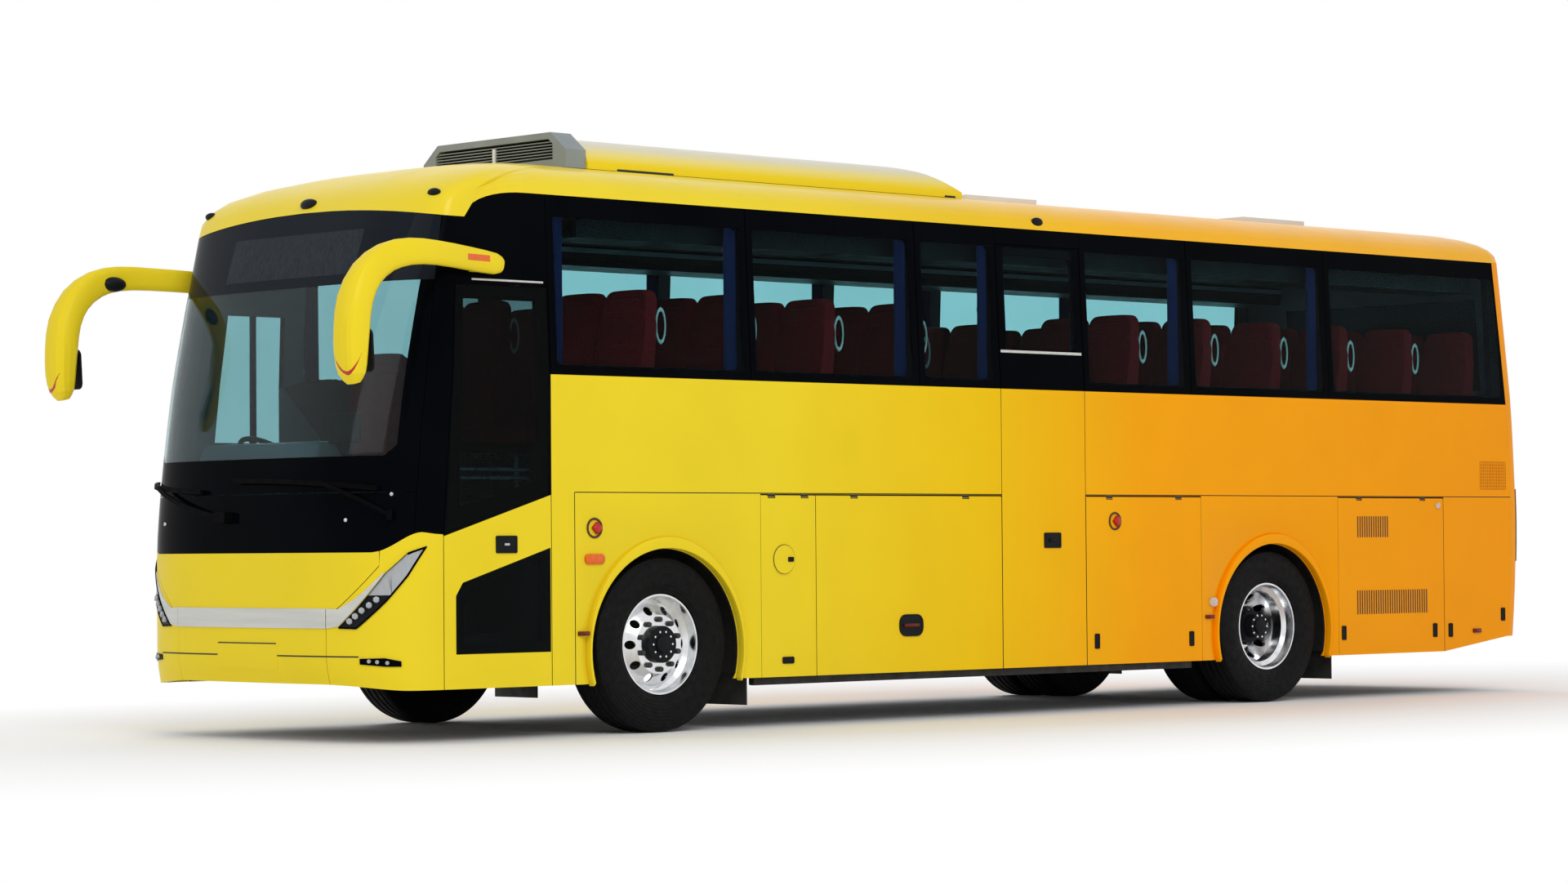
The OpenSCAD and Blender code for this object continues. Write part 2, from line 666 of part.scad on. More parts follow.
module rear_glass() {
  color(tint, 0.5) panel([for (a = spread(-angle_at(1010), angle_at(1010), 14))
    [a, rear_hole[1] - 60, rear_hole[2] + 60, -overlay, -seat]], 8, true);
}
lid_t = 30;
lid_hinge_x = tail_line(lid_top) + hinge_r + 0.5;
lid_hinge_half = 460;
lid_knuckles = [-300, 300];
lid_hole_z = lid_top + hinge_r + gap + 2;
module engine_lid() {
  color(orange) {
    difference() {
      union() {
        panel([for (a = spread(-angle_at(lid_half), angle_at(lid_half), 14))
          [a, lid_low, lid_top, 0, lid_t]], 10, true);
        rod_y(lid_hinge_x, -lid_hinge_half, lid_hinge_half, lid_top, hinge_r);
      }
      for (y = lid_knuckles)
        rod_y(lid_hinge_x, y - knuckle_l / 2 - 2, y + knuckle_l / 2 + 2, lid_top, hinge_r + 5);
    }
    for (y = lid_knuckles) rod_y(lid_hinge_x, y - knuckle_l / 2 - 3, y + knuckle_l / 2 + 3, lid_top, pin_r);
  }
}
module tail_lamps() {
  color("darkred") both() {
    panel([for (a = spread(60, 78, 6)) [a, 950, 1480, -overlay, -seat]], 4, true);
    panel([for (a = spread(40, 46, 3)) [a, 2985, 3040, -overlay, -seat]], 1, true);
  }
}

// Small lamps on the sides
side_lamp_r = 34;
side_lamps_at = [[575, 1212], [576, 1031], [rear_axle_x + 658, 699]];
module side_lamps() {
  color("orange") both() for (p = side_lamps_at)
    rod_y(p[0], hw + seat, hw + 14, p[1], side_lamp_r);
}

// Mirrors: a horn that leaves the side and turns down ahead of the windscreen
mirror_root_x = 1270;
mirror_root_z = 2712;
mirror_steps = [
  [mirror_root_x, mirror_root_z, 20, 34], [mirror_root_x + 60, mirror_root_z + 8, 34, 62],
  [1560, 2738, 36, 68], [1850, 2752, 38, 70], [2060, 2748, 44, 76], [2230, 2706, 60, 84],
  [2365, 2610, 82, 86], [nose_x + mirror_reach - 105.5, 2470, 98, 84],
  [nose_x + mirror_reach - 81.5, 2310, 102, 80], [nose_x + mirror_reach - 75.5, 2160, 98, 72],
  [nose_x + mirror_reach - 84, 2060, 80, 58], [nose_x + mirror_reach - 96, 2008, 40, 30]
];
mirror_sides = 16;
function spline(p, i, t) =
  let(n = len(p) - 1, a = p[max(0, i - 1)], b = p[i], c = p[min(n, i + 1)], d = p[min(n, i + 2)])
  0.5 * ((2 * b) + (c - a) * t + (2 * a - 5 * b + 4 * c - d) * t * t + (3 * b - a - 3 * c + d) * t * t * t);
mirror_path = concat(
  [for (i = [0 : len(mirror_steps) - 2]) for (j = [0 : 1]) spline(mirror_steps, i, j / 2)],
  [mirror_steps[len(mirror_steps) - 1]]);
function mirror_out(x) = lerp(wall_line(mirror_root_z) + 42, mirror_y, smooth((x - mirror_root_x) / 800));
module mirror_horn() {
  n = len(mirror_path);
  rings = [for (k = [0 : n - 1])
    let(p = mirror_path[k], q = mirror_path[min(n - 1, k + 1)], o = mirror_path[max(0, k - 1)],
        d = [q[0] - o[0], q[1] - o[1]], u = d / norm(d))
    for (j = [0 : mirror_sides - 1])
      let(a = j * 360 / mirror_sides, s = p[2] * plan(sin(a)), v = p[3] * plan(cos(a)))
      [p[0] - u[1] * v, mirror_out(p[0]) + s, p[1] + u[0] * v]];
  m = mirror_sides;
  faces = concat(
    [for (k = [0 : n - 2]) for (j = [0 : m - 1])
      let(a = k * m + j, b = k * m + (j + 1) % m) each [[a, b, a + m], [b, b + m, a + m]]],
    [[for (j = [0 : m - 1]) m - 1 - j]], [[for (j = [0 : m - 1]) (n - 1) * m + j]]);
  polyhedron(rings, faces);
}
mirror_foot = [1300, 1480, 2670, 2760];
module mirrors() {
  color(yellow) both() {
    mirror_horn();
    wall_slab(mirror_foot[0], mirror_foot[1], -24, -seat, mirror_foot[2], mirror_foot[3]);
  }
}
mirror_pane = [nose_x + mirror_reach - 180.5, 2190, 70, 120];
module mirror_glass() {
  color("lightsteelblue") both() {
    translate([mirror_pane[0], mirror_y, mirror_pane[1]]) rotate([0, 93, 0])
      linear_extrude(12) round_hole(-mirror_pane[3], mirror_pane[3], -mirror_pane[2], mirror_pane[2], 40);
  }
}

// Roof unit and hatches
roof_section = [for (a = [0 : 6 : 180])
  [plan_r(cos(a)) * (wall_line(band_z) + seat), band_z + plan_r(sin(a)) * (roof_z - band_z + seat)]];
function plan_r(v) = sign(v) * pow(abs(v), 2 / roof_n);
function plan_ac(v) = sign(v) * pow(abs(v), 2 / ac_n);
ac_base = roof_z - 60;
ac_rear = ac_front - ac_frame - ac_len;
module ac_section(top, half) {
  difference() {
    polygon([for (a = [0 : 7.5 : 180])
      [plan_ac(cos(a)) * half, ac_base + plan_ac(sin(a)) * (top - ac_base)]]);
    polygon(concat(roof_section, [[-hw, 0], [hw, 0]]));
  }
}
module ac_cover() {
  color(yellow) intersection() {
    along_x(ac_rear, ac_front - ac_frame - seat) ac_section(ac_z, ac_half);
    along_y(-hw, hw) polygon([
      [ac_front, ac_base - 100], [ac_front, ac_z - 10], [ac_front - ac_frame - 120, ac_z],
      [ac_rear + ac_slope, ac_z],
      [ac_rear + ac_slope / 2, ac_z - 60], [ac_rear, roof_z + 10], [ac_rear, ac_base - 100]]);
  }
}
ac_slats = 6;
ac_low = roof_z + 30;
ac_lip = 40;
ac_side = 0.43 * ac_rise;
ac_chamfer = 140;
module ac_box(half, top) {
  polygon([[-half, ac_base], [half, ac_base], [half, roof_z + ac_side], [half - ac_chamfer, top],
           [ac_chamfer - half, top], [-half, roof_z + ac_side]]);
}
module ac_mouth() {
  half = ac_half - ac_chamfer;
  polygon([[-half, ac_low], [half, ac_low], [half, roof_z + ac_side + ac_lip], [half - ac_lip, ac_z - ac_lip],
           [ac_lip - half, ac_z - ac_lip], [-half, roof_z + ac_side + ac_lip]]);
}
module ac_intake() {
  color(grey) {
    difference() {
      along_x(ac_front - ac_frame, ac_front) difference() {
        ac_box(ac_half - 20, ac_z);
        polygon(concat(roof_section, [[-hw, 0], [hw, 0]]));
      }
      along_x(ac_front - ac_frame + 30, ac_front + 1) ac_mouth();
    }
    along_x(ac_front - 40, ac_front - 10) for (i = [1 : ac_slats]) intersection() {
      offset(delta = 5) ac_mouth();
      translate([-ac_half, lerp(ac_low, ac_z - ac_lip, i / (ac_slats + 1)) - 3]) square([2 * ac_half, 6]);
    }
  }
}
hatch_l = 700;
hatch_half = 310;
hatch_h = 55;
hatch_front_x = ac_rear - 440;
hatch_rear_x = rear_axle_x - 830;
hatch_pin_r = 8;
crown_z = crown(0);
module roof_hatch(x) {
  color("whitesmoke") difference() {
    union() {
      block([x - hatch_l, -hatch_half, crown_z + seat], [x - hatch_pin_r, hatch_half, crown_z + hatch_h]);
      rod_y(x - hatch_pin_r, -hatch_half, hatch_half, crown_z + seat + hatch_pin_r, hatch_pin_r);
    }
    block([x - hatch_l + 50, -hatch_half + 30, crown_z], [x - 50, hatch_half - 30, crown_z + hatch_h - 20]);
  }
}
module roof_hatch_front() { roof_hatch(hatch_front_x); }
module roof_hatch_rear() { roof_hatch(hatch_rear_x); }

// Doors: leaf, glass and the arm that swings the leaf out and forward
module front_leaf_outline(edge) {
  polygon([
    [front_door_rear + edge, skirt_z], [corner_low_x - edge, skirt_z], [corner_low_x - edge, corner_low_z],
    [corner_line(front_door_z) - edge, front_door_z - edge], [front_door_rear + edge, front_door_z - edge]]);
}
module front_low_glass(edge) {
  polygon([
    [front_door_rear + 10 + edge, 500 + edge], [1610 - edge, 500 + edge], [1610 - edge, 830 - edge],
    [1560 - edge, 905 - edge], [front_door_rear + 10 + edge, 1100 - edge]]);
}
module front_top_glass(edge) {
  polygon([
    [front_door_rear + 10 + edge, 1405 + edge], [corner_low_x - 12 - edge, 1182 + edge],
    [corner_line(front_door_z) - 10 - edge, front_door_z - 10 - edge],
    [front_door_rear + 10 + edge, front_door_z - 10 - edge]]);
}
module glazed(z0, z1, t0, t1) {
  intersection() {
    wall_slab(front_door_rear, corner_low_x, t0, t1, z0, z1);
    along_y(0, 2 * hw) children();
  }
}
module leaf_gear(post_x) {
  x = post_x - arm_r;
  for (s = [-1, 1]) {
    z = arm_z + s * (arm_h / 2 + lug_gap + lug_h / 2);
    block([x - eye_r, arm_y, z - lug_h / 2], [x + eye_r, hw - door_t + 1, z + lug_h / 2]);
    rod_z(x, arm_y, z - lug_h / 2, z + lug_h / 2, eye_r);
  }
  rod_z(x, arm_y, arm_z - arm_h, arm_z + arm_h, door_pin_r);
}
module front_door() {
  color(yellow) {
    difference() {
      glazed(skirt_z, front_door_z, 0, door_t) front_leaf_outline(gap);
      glazed(skirt_z, front_door_z, -1, door_glass_t + seat) front_low_glass(0);
      glazed(skirt_z, front_door_z, -1, door_glass_t + seat) front_top_glass(0);
      along_y(hw - 2 * wall_t, hw + 1) front_low_glass(60);
      along_y(hw - 2 * wall_t, hw + 1) polygon([
        [985, 1700], [1565, 1700], [1525, 2520], [985, 2520]]);
      along_y(hw - 2 * wall_t, hw + 1) polygon([
        [985, 1480], [1575, 1330], [1570, 1640], [985, 1640]]);
    }
    leaf_gear(front_post_x);
  }
}
module front_door_glass() {
  color(tint, 0.5) {
    glazed(skirt_z, front_door_z, 0, door_glass_t) front_low_glass(2);
    glazed(skirt_z, front_door_z, 0, door_glass_t) front_top_glass(2);
  }
}
mid_glass = [mid_door_rear + 15, mid_door_front - 15, belt_z + 5, mid_door_z - 15];
module mid_door() {
  color(yellow) {
    difference() {
      wall_slab(mid_door_rear + gap, mid_door_front - gap, 0, door_t, skirt_z, mid_door_z - gap);
      wall_slab(mid_glass[0], mid_glass[1], -1, door_glass_t + seat, mid_glass[2], mid_glass[3]);
      along_y(hw - 3 * wall_t, hw + 1)
        round_hole(mid_glass[0] + 50, mid_glass[1] - 50, mid_glass[2] + 55, mid_glass[3] - 60, hole_r);
    }
    leaf_gear(mid_post_x);
  }
}
module mid_door_glass() {
  color(tint, 0.5)
    wall_slab(mid_glass[0] + 2, mid_glass[1] - 2, 0, door_glass_t, mid_glass[2] + 2, mid_glass[3] - 2);
}
module door_arm(post_x, low, high) {
  color(grey) difference() {
    union() {
      rod_z(post_x, arm_y, low + seat, high - seat, post_r);
      block([post_x - arm_r, arm_y - arm_w / 2, arm_z - arm_h / 2],
            [post_x, arm_y + arm_w / 2, arm_z + arm_h / 2]);
      rod_z(post_x - arm_r, arm_y, arm_z - arm_h / 2, arm_z + arm_h / 2, eye_r);
    }
    rod_z(post_x - arm_r, arm_y, arm_z - arm_h, arm_z + arm_h, door_pin_r + run);
  }
}
module front_door_arm() { door_arm(front_post_x, front_step_z, front_door_z); }
module mid_door_arm() { door_arm(mid_post_x, front_step_z, mid_post_z); }

module filler_flap() {
  color(yellow) flap(flaps_left[0][0], flaps_left[0][1]);
}
module luggage_door_left() {
  color(yellow) flap(flaps_left[1][0], flaps_left[1][1]);
}
module service_flap() {
  color(orange) flap(flaps_left[2][0], flaps_left[2][1]);
}
module engine_flap_left() {
  color(orange) flap(flaps_left[3][0], flaps_left[3][1]);
}
module luggage_door_right_front() {
  color(yellow) mirror([0, 1, 0]) flap(flaps_right[0][0], flaps_right[0][1]);
}
module luggage_door_right_rear() {
  color(yellow) mirror([0, 1, 0]) flap(flaps_right[1][0], flaps_right[1][1]);
}
module engine_flap_right() {
  color(orange) mirror([0, 1, 0]) flap(flaps_right[2][0], flaps_right[2][1]);
}

// Floor with the driver's platform and both stairwells
module stair(x0, x1, low, step, depth, count, end_y) {
  along_x(x0, x1) polygon(concat(
    [[step_out, low - step_t]],
    [for (i = [0 : count - 1]) each [
      [step_out - i * depth, low + i * step], [step_out - (i + 1) * depth, low + i * step]]],
    [[step_out - count * depth, low + count * step],
     [end_y, low + count * step], [end_y, low + count * step - step_t]],
    [for (i = [count : -1 : 1]) each [
      [step_out - i * depth - step_t, low + i * step - step_t],
      [step_out - i * depth - step_t, low + (i - 1) * step - step_t]]]));
}
module floor_deck() {
  color(grey) {
    difference() {
      block([floor_rear, -floor_y, floor_z - floor_t], [floor_front, floor_y, floor_z]);
      block([mid_step_x0, step_out - 4 * tread, floor_z - floor_t - 1],
            [mid_step_x1, floor_y + 1, floor_z + 1]);
    }
    stair(front_step_x0, front_step_x1, front_step_z, front_rise, front_tread, 3, -floor_y);
    stair(mid_step_x0, mid_step_x1, front_step_z, mid_rise, tread, 4, step_out - 4 * tread - step_t - 1);
    for (x = [mid_step_x0 - cheek_t, mid_step_x1])
      block([x, step_out - 4 * tread - step_t, front_step_z - step_t],
            [x + cheek_t, step_out, floor_z - floor_t]);
    block([floor_front - cheek_t, -floor_y, platform_z - step_t], [floor_front, floor_y, floor_z]);
    block([floor_front - cheek_t, -floor_y, platform_z - step_t], [front_step_x0, floor_y, platform_z]);
    block([front_step_x0 - cheek_t, rail_y + rail_w / 2 + 10, front_step_z - step_t],
          [front_step_x0, step_out, platform_z]);
    block([front_step_x0 - cheek_t, step_out - 3 * front_tread - step_t, nose_rail_z + rail_h + 20],
          [front_step_x0, step_out, platform_z]);
    block([floor_front, 950 - hw, platform_z],
          [floor_front + 240, hw - 950, (platform_z + floor_z) / 2]);
  }
}
module luggage_bay() {
  color(grey) difference() {
    union() {
      block([bay_rear, -floor_y, bay_low], [bay_front, floor_y, bay_low + bay_t]);
      for (x = [bay_rear, bay_front - bay_t])
        block([x, -floor_y, bay_low], [x + bay_t, floor_y, floor_z - floor_t]);
    }
    block([mid_step_x0 - cheek_t - seat, step_out - 4 * tread - step_t - seat, bay_low - 1],
          [mid_step_x1 + cheek_t + seat, floor_y + 1, bay_low + bay_t + 1]);
  }
}

// Frame under the floor, with a towing jaw behind the bumper and a lug under the tail
module tow_jaw(x, top) {
  difference() {
    block([nose_rail_end + 20, -tow_half, top - tow_t], [x + tow_r + tow_edge, tow_half, top]);
    rod_z(x, 0, top - tow_t - 1, top + 1, tow_r);
  }
}
module tow_lug(x, z, top) {
  difference() {
    block([x - tow_r - tow_edge, -tow_t / 2, z - tow_r - tow_edge], [x + tow_r + tow_edge, tow_t / 2, top]);
    rod_y(x, -tow_t, tow_t, z, tow_r);
  }
}
rail_rear_end = rear_axle_x - 2500;
module underframe() {
  rail_in = rail_y - rail_w / 2 - seat;
  rail_top = rail_z + rail_h;
  color(black) {
    for (s = [-1, 1]) {
      y0 = s * rail_y - rail_w / 2;
      y1 = s * rail_y + rail_w / 2;
      block([bay_front, y0, rail_z], [nose_rail_x, y1, rail_top]);
      block([nose_rail_x - post_w, y0, nose_rail_z + rail_h + seat], [nose_rail_x, y1, rail_z - seat]);
      block([nose_rail_x - post_w, y0, nose_rail_z], [nose_rail_end, y1, nose_rail_z + rail_h]);
      block([rail_rear_end, y0, rail_z], [bay_rear, y1, rail_top]);
      for (x = [bay_front + 10, rear_panel_rear - 60, rail_rear_end + 10, bay_rear - 60, floor_front - 110])
        block([x, y0, rail_top + seat], [x + 50, y1, post_top - seat]);
    }
    for (x = [bay_front + 10, nose_rail_x - post_w, bay_rear - 100, rail_rear_end])
      block([x, -rail_in, rail_z], [x + post_w, rail_in, rail_top]);
    block([nose_rail_end + seat, -cross_half, nose_rail_z],
          [nose_rail_end + 100, cross_half, nose_rail_z + rail_h]);
    tow_jaw(tow_x, nose_rail_z - seat);
    tow_lug(rear_tow_x, rear_tow_z, rail_z - seat);
  }
}
engine = [rear_axle_x - 2200, rear_axle_x - 800, 480, 1240];
module engine_block() {
  color("dimgray")
    block([engine[0], -rail_y + rail_w / 2 + seat, engine[2]],
          [engine[1], rail_y - rail_w / 2 - seat, engine[3]]);
}
module wheel_housings() {
  color(black) both() for (x = [0, rear_axle_x]) {
    difference() {
      intersection() {
        rod_y(x, housing_y, hw - wall_t - seat, arch_z, housing_r + housing_t);
        block([x - 2 * arch_r, 0, skirt_z + 30], [x + 2 * arch_r, hw, 2 * arch_r + arch_z]);
      }
      rod_y(x, 0, hw, arch_z, housing_r);
    }
    block([x - housing_r - 30, hw - wall_t - 420, 140],
          [x - housing_r - 30 + flap_mud_t, hw - wall_t - seat, arch_z]);
    block([x - housing_r - 30, hw - wall_t - 420, arch_z - 60],
          [x - housing_r + 5, hw - wall_t - seat, arch_z]);
  }
}

// Axles and wheels
module front_axle() {
  color(grey) difference() {
    union() {
      block([-beam_x, -kingpin_y, eye_low + 20], [beam_x, kingpin_y, eye_low + 20 + beam_h]);
      block([-beam_x - 20, -rail_y - 150, beam_z], [beam_x + 20, rail_y + 150, beam_z + beam_h]);
      both() {
        rod_z(0, kingpin_y, eye_low, eye_high, eye_boss_r);
        rod_z(0, rail_y, beam_z + beam_h - 10, rail_z, bellows_r);
      }
    }
    both() rod_z(0, kingpin_y, eye_low - 1, eye_high + 1, kingpin_r + run);
  }
}
knuckle_in = kingpin_y + eye_boss_r + 10;
knuckle_out = knuckle_in + 40;
module knuckle() {
  rod_z(0, kingpin_y, eye_low - fork_gap - fork_t, eye_high + fork_gap + fork_t, kingpin_r);
  for (z = [eye_low - fork_gap - fork_t, eye_high + fork_gap]) {
    rod_z(0, kingpin_y, z, z + fork_t, eye_boss_r);
    block([-eye_boss_r, kingpin_y, z], [eye_boss_r, knuckle_out, z + fork_t]);
  }
  block([-eye_boss_r, knuckle_in, eye_low - fork_gap - fork_t],
        [eye_boss_r, knuckle_out, eye_high + fork_gap + fork_t]);
  rod_y(0, knuckle_in, track_half + 50, axle_z, spindle_r);
}
module knuckle_left() { color(grey) knuckle(); }
module knuckle_right() { color(grey) mirror([0, 1, 0]) knuckle(); }
module rear_axle() {
  color(grey) {
    rod_y(rear_axle_x, -track_half - 20, track_half + 20, axle_z, rear_spindle_r);
    rod_y(rear_axle_x, -rail_y - 90, rail_y + 90, axle_z, rear_spindle_r + 20);
    translate([rear_axle_x, 0, axle_z]) sphere(210);
    rod_x(rear_axle_x - 420, rear_axle_x, 0, axle_z, 90);
    both() rod_z(rear_axle_x, rail_y, axle_z, rail_z, bellows_r);
  }
}
// Section of a tyre: bead, bulged wall, shoulder and tread, then the hollow inside
tyre_side = [
  [0, 36], [13.5, 36], [20, 25], [52, 9], [112, 0], [164, 2], [204, 9], [222, 16], [231, 28], [236, 52]
];
tyre_hollow = [[0, 53], [34, 40], [112, 25], [176, 29], [202, 42], [211, 66]];
function tyre_pts(list) =
  [for (p = list) [bead_r + 0.4 + p[0] * (tyre_r - bead_r - 0.4) / 236, tyre_w / 2 - p[1]]];
module tyre() {
  outer = tyre_pts(tyre_side);
  hollow = tyre_pts(tyre_hollow);
  function flip(l) = [for (i = [len(l) - 1 : -1 : 0]) [l[i][0], -l[i][1]]];
  function back(l) = [for (i = [len(l) - 1 : -1 : 0]) l[i]];
  rotate_extrude() polygon(concat(outer, flip(outer), [for (p = hollow) [p[0], -p[1]]], back(hollow)));
}
rim_half = 118;
rim_t = 10;
flange_r = bead_r + 12;
well_r = bead_r - 30;
module rim_barrel() {
  rotate_extrude() {
    line = [[flange_r, rim_half], [flange_r, rim_half - 5], [bead_r, rim_half - 5],
            [bead_r - 2, 66], [well_r, 44]];
    far = [for (i = [len(line) - 1 : -1 : 0]) [line[i][0], -line[i][1]]];
    inside = [[bead_r + 2, -rim_half], [bead_r - rim_t - 2, -66], [well_r - rim_t, -44],
              [well_r - rim_t, 44], [bead_r - rim_t - 2, 66], [bead_r + 2, rim_half]];
    polygon(concat(line, far, inside));
  }
}
// Disc of a rim: conical from the well to a flat bolted ring, with hand holes
hand_holes = 10;
disc_t = 13;
hand_r = 26;
disc_r = 175;
module rim_disc(from, to, t) {
  difference() {
    rotate_extrude() polygon([
      [well_r - 4, from], [disc_r, to], [40, to], [40, to + t], [disc_r, to + t], [well_r - 4, from + t]]);
    for (i = [0 : hand_holes - 1]) rotate(i * 360 / hand_holes) translate([206, 0, to - 200])
      cylinder(h = 400, r = hand_r);
  }
}
hub_nose = 138;
module front_rim() {
  difference() {
    union() {
      rim_barrel();
      rim_disc(30, 92, disc_t);
      translate([0, 0, -10]) cylinder(h = hub_nose + 10, r = hub_r);
    }
    translate([0, 0, -11]) cylinder(h = 11 + 52, r = spindle_r + run);
  }
}
disc_seat = twin_gap / 2;
disc_gap = 2;
module rear_rims() {
  difference() {
    union() {
      rim_barrel();
      rim_disc(-40, -disc_seat + disc_gap, 18);
      translate([0, 0, -twin_gap]) {
        rim_barrel();
        rim_disc(22, disc_seat - 18 - disc_gap, 18);
      }
      translate([0, 0, -twin_gap + 20]) cylinder(h = twin_gap - 40, r = hub_r);
      translate([0, 0, -60]) cylinder(h = 110, r = 80);
    }
    translate([0, 0, -twin_gap]) cylinder(h = twin_gap + 22, r = rear_spindle_r + run);
  }
}
module at_wheel(x, left) {
  mirror([0, left ? 0 : 1, 0]) translate([x, track_half, axle_z]) rotate([-90, 0, 0]) children();
}
module tyre_front_left() { color(black) at_wheel(0, true) tyre(); }
module tyre_front_right() { color(black) at_wheel(0, false) tyre(); }
module rim_front_left() { color("silver") at_wheel(0, true) front_rim(); }
module rim_front_right() { color("silver") at_wheel(0, false) front_rim(); }
module twin_tyres() { tyre(); translate([0, 0, -twin_gap]) tyre(); }
module tyres_rear_left() { color(black) at_wheel(rear_axle_x, true) twin_tyres(); }
module tyres_rear_right() { color(black) at_wheel(rear_axle_x, false) twin_tyres(); }
module rims_rear_left() { color("silver") at_wheel(rear_axle_x, true) rear_rims(); }
module rims_rear_right() { color("silver") at_wheel(rear_axle_x, false) rear_rims(); }

// Seats: rows on both sides of the aisle, a rear bench and the driver's seat
first_row = 150;
front_rows_end = mid_door_front + 780;
rows_front = 1 + floor((first_row - front_rows_end) / seat_pitch);
back_row = mid_door_rear - 510;
bench_x = tail_x + 675;
rows_back = round((back_row - bench_x) / seat_pitch);
back_pitch = (back_row - bench_x) / rows_back;
last_row = bench_x + back_pitch;
rows_right = 1 + round((first_row - last_row) / seat_pitch);
cushion_t = 110;
cushion_l = 450;
left_rows = concat(
  [for (i = [0 : rows_front - 1]) first_row - i * seat_pitch],
  [for (i = [0 : rows_back - 1]) back_row - i * back_pitch]);
right_rows = [for (i = [0 : rows_right - 1]) lerp(first_row, last_row, i / (rows_right - 1))];
bench_step = (hw - 360) / 2;
seat_at = [for (i = [0, 1]) aisle + 20 + seat_w / 2 + i * (seat_w + 15)];
seats = concat(
  [for (x = left_rows) for (y = seat_at) [x, y]],
  [for (x = right_rows) for (y = seat_at) [x, -y]],
  [for (i = [-2 : 2]) [bench_x, i * bench_step]]);
driver = [850, 630 - hw];
driver_lift = platform_z - floor_z + 40;
module seat_cushion(x, y, lift) {
  z = floor_z + seat_h + lift;
  block([x, y - seat_w / 2, z - cushion_t], [x + cushion_l, y + seat_w / 2, z]);
}
back_profile = [
  [-seat, -90], [-seat, 20], [-60, 330], [-100, 560], [-112, 690], [-150, 715], [-196, 690], [-196, 600],
  [-176, 330], [-120, 20], [-90, -90]
];
module seat_back(x, y, lift) {
  translate([x, 0, floor_z + seat_h + lift]) along_y(y - seat_w / 2, y + seat_w / 2) polygon(back_profile);
}
module seat_cushions() {
  color(seat_red) {
    for (s = seats) seat_cushion(s[0], s[1], 0);
    seat_cushion(driver[0], driver[1], driver_lift);
  }
}
module seat_backs() {
  color(seat_red) {
    for (s = seats) seat_back(s[0], s[1], 0);
    seat_back(driver[0], driver[1], driver_lift);
  }
}
seat_base_t = 40;
module seat_leg(x, y0, y1, low, high) {
  block([x - 110, y0, high - seat_base_t], [x + 330, y1, high - seat]);
  for (y = [y0 + 40, y1 - 80]) block([x + 60, y, low + seat], [x + 240, y + 40, high - seat_base_t - seat]);
}
module seat_frames() {
  high = floor_z + seat_h - cushion_t;
  color(grey) {
    for (x = left_rows) seat_leg(x, aisle + 40, seat_at[1] + seat_w / 2 - 20, floor_z, high);
    for (x = right_rows) seat_leg(x, -seat_at[1] - seat_w / 2 + 20, -aisle - 40, floor_z, high);
    seat_leg(bench_x, 240 - hw, hw - 240, floor_z, high);
    seat_leg(driver[0], driver[1] - 200, driver[1] + 200, platform_z, high + driver_lift);
  }
}
rack_front = 560;
rack_rear = rear_axle_x - 2480;
rack_z = 2790;
rack_in = hw - 560;
rack_out = hw - 165;
module parcel_racks() {
  high = hole_top + 40;
  color(grey) both() along_x(rack_rear, rack_front) polygon([
    [rack_in, rack_z + 40], [rack_in + 25, rack_z], [rack_out, rack_z], [rack_out, high - 25],
    [wall_line(high - 25) - wall_t - seat, high - 25], [wall_line(high) - wall_t - seat, high],
    [rack_out - 25, high], [rack_out - 25, rack_z + 25], [rack_in + 40, rack_z + 25],
    [rack_in + 40, rack_z + 130], [rack_in, rack_z + 130]]);
}
curtain_w = 110;
curtain_t = 36;
curtain_low = belt_z + 35;
curtain_top = hole_top + 14;
curtains_left = [
  front_door_rear - 70, seam_first, seam_second, mid_door_front + 110, mid_door_rear - 60,
  rear_axle_x + 855, last_pane_front, tail_edge(band_z) + 100
];
curtains_right = [
  front_door_rear - 70, seam_first, seam_second, mid_door_rear,
  rear_axle_x + 855, last_pane_front, tail_edge(band_z) + 100
];
module curtain(x) {
  wall_slab(x - curtain_w / 2, x + curtain_w / 2, wall_t + seat, wall_t + seat + curtain_t,
            curtain_low, curtain_top);
}
module curtains() {
  color("midnightblue") {
    for (x = curtains_left) curtain(x);
    mirror([0, 1, 0]) for (x = curtains_right) curtain(x);
  }
}

// Driver's place
dash_top = 1610;
module dashboard() {
  color("slategray") {
    along_y(200 - hw, 340) polygon([
      [1600, platform_z + seat], [1600, 1060], [1650, 1100], [1650, 1250], [1570, 1440], [1600, 1540],
      [1690, dash_top], [1800, dash_top], [1880, 1540], [1890, platform_z + seat]]);
    along_y(340, hw - 270) polygon([
      [1760, 1080], [1740, 1420], [1780, dash_top - 60], [1850, dash_top - 60], [1890, 1480], [1890, 1080]]);
    translate(wheel_at) rotate([0, -wheel_tilt, 0]) translate([0, 0, -260]) cylinder(h = 240 - seat, r = 30);
  }
}
wheel_tilt = 35;
wheel_at = [1500, driver[1], 1640];
module steering_wheel() {
  color(black) translate(wheel_at) rotate([0, -wheel_tilt, 0]) {
    rotate_extrude() translate([215, 0]) circle(16);
    cylinder(h = 40, r = 55, center = true);
    for (a = [0, 90, 180, 270]) rotate(a) translate([0, -14, -8]) cube([215, 28, 16]);
  }
}

